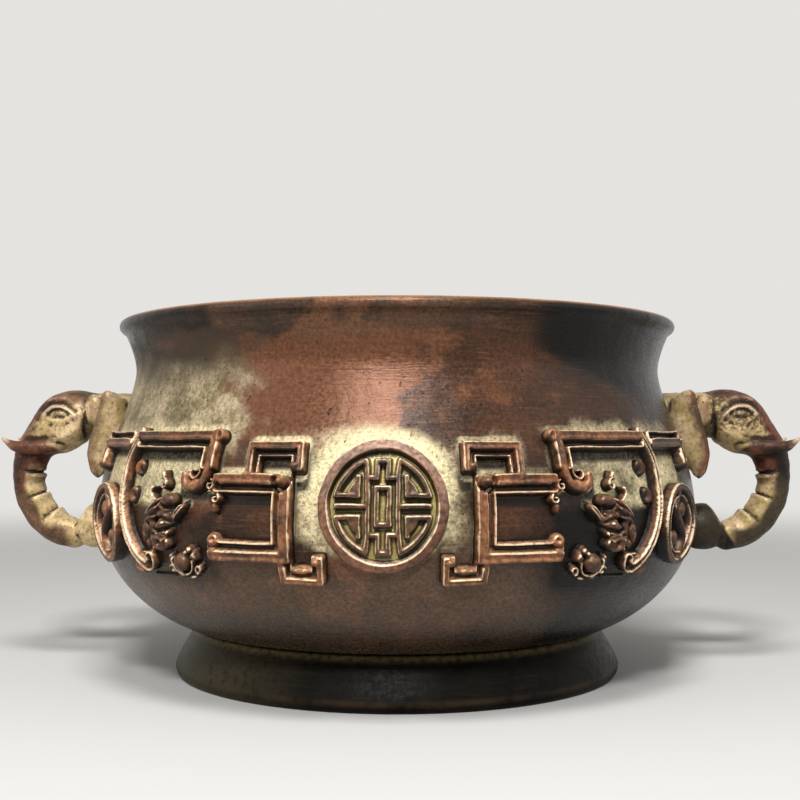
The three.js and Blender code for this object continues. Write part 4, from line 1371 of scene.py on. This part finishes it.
CORNERS = [
    ("front_right", 1, False),
    ("front_left", -1, False),
    ("back_right", -1, True),
    ("back_left", 1, True),
]
# Each kind of ornament, with the corners of its part of the pattern and its metal.
PATTERN = {
    "square_scroll": (square_scroll, (8, -15), (36, 12.5), "relief_patina"),
    "rail_scroll": (rail_scroll, (29, 1), (58, 15), "relief_patina"),
    "outer_frame": (outer_frame, (45, -15), (77, 15), "relief_patina"),
    "beast": (beast, (31, -15.5), (53, 7.5), "beast_patina"),
    "side_roundel": (side_roundel, (58, -14), (76, 4.5), "relief_patina"),
}
# In front on the right the metal by the handle is darker, as the wall there is: dark patina with painted
# shade.
DARK_PIECES = ("outer_frame_front_right", "side_roundel_front_right")
for kind, (shape, low, high, metal) in PATTERN.items():
    patch = height_patch(shape, low, high, GRID)
    for corner, side, back in CORNERS:
        name = f"{kind}_{corner}"
        finish = METALS["relief_dark_patina_and_shade" if name in DARK_PIECES else metal]
        wall_piece(name, patch, finish, side, back)

ring_patch = height_patch(roundel_ring, (-13, -13), (13, 13), GRID)
fret_patch = height_patch(roundel_fret, (-10.5, -10.5), (10.5, 10.5), FRET_GRID)
for face, back in [("front", False), ("back", True)]:
    wall_piece(f"{face}_roundel_ring", ring_patch, METALS["ring_patina"], 1, back)
    wall_piece(f"{face}_roundel_fret", fret_patch, METALS["fret_patina"], 1, back)


# Stage and light, in metres and watts.

FLOOR_COLOUR = rgb(212, 211, 208)
BACKDROP = rgb(228, 227, 224)
FLOOR_HALF = 3
FADE_START = 0.16
FADE_END = 0.75
WORLD_LIGHT = 0.32
AIM = Vector((0, 0, 0.045))
# Each lamp: its place, its width and height, and its power.
LAMPS = {
    "key": ((0.02, -0.28, 0.5), (0.16, 0.12), 1.7),
    "front": ((-0.02, -0.5, 0.42), (0.12, 0.06), 2.3),
    "left_fill": ((-0.6, -0.35, 0.35), (0.5, 0.4), 0.8),
    "right_fill": ((0.6, -0.25, 0.35), (0.5, 0.4), 0.6),
}


def seen_directly(tree):
    """1 for rays from the camera and for those that polished or clear surfaces send on, 0 for light."""
    rays = add_node(tree, "LightPath", {}).outputs
    pair = {0: rays["Is Camera Ray"], 1: rays["Is Glossy Ray"]}
    both = add_node(tree, "Math", pair, operation="MAXIMUM")
    every = {0: both.outputs[0], 1: rays["Is Transmission Ray"]}
    return add_node(tree, "Math", every, operation="MAXIMUM").outputs[0]


def floor_paint():
    """Pale paint near the burner that fades into the backdrop's colour further out."""
    paint = bpy.data.materials.new("floor_paint")
    paint.use_nodes = True
    tree = paint.node_tree
    shader = tree.nodes["Principled BSDF"]
    shader.inputs["Base Color"].default_value = FLOOR_COLOUR
    shader.inputs["Roughness"].default_value = 0.9
    glow = add_node(tree, "Emission", {"Color": BACKDROP})
    place = add_node(tree, "TexCoord", {}).outputs["Object"]
    away = add_node(tree, "VectorMath", {0: place}, operation="LENGTH").outputs["Value"]
    span = {"From Min": FADE_START, "From Max": FADE_END, "Value": away}
    fade = add_node(tree, "MapRange", span, interpolation_type="SMOOTHERSTEP")
    seen = {0: fade.outputs["Result"], 1: seen_directly(tree)}
    share = add_node(tree, "Math", seen, operation="MULTIPLY").outputs[0]
    blend = add_node(tree, "MixShader", {0: share, 1: shader.outputs[0], 2: glow.outputs[0]})
    tree.links.new(blend.outputs[0], tree.nodes["Material Output"].inputs["Surface"])
    return paint


def make_stage():
    """A pale floor that keeps the shadow near the burner."""
    data = bpy.data.meshes.new("floor")
    corners = [(x * FLOOR_HALF, y * FLOOR_HALF, 0) for x, y in [(-1, -1), (1, -1), (1, 1), (-1, 1)]]
    data.from_pydata(corners, [], [(0, 1, 2, 3)])
    data.materials.append(floor_paint())
    floor = new_object("floor", data)


def make_lamp(name, place, size, watts):
    data = bpy.data.lights.new(name, "AREA")
    data.shape = "RECTANGLE"
    data.size, data.size_y = size
    data.energy = watts
    lamp = new_object(name, data)
    lamp.location = place
    lamp.rotation_euler = (AIM - Vector(place)).to_track_quat("-Z", "Y").to_euler()


def make_world():
    """Even light from all round, and the pale backdrop behind it."""
    world = bpy.data.worlds.new("studio")
    world.use_nodes = True
    tree = world.node_tree
    background = tree.nodes["Background"]
    background.inputs["Color"].default_value = BACKDROP
    span = {"Value": seen_directly(tree), "To Min": WORLD_LIGHT, "To Max": 1}
    strength = add_node(tree, "MapRange", span)
    tree.links.new(strength.outputs["Result"], background.inputs["Strength"])
    bpy.context.scene.world = world


make_stage()
make_world()
for name, lamp in LAMPS.items():
    make_lamp(name, *lamp)

bpy.context.scene.view_settings.view_transform = "Standard"
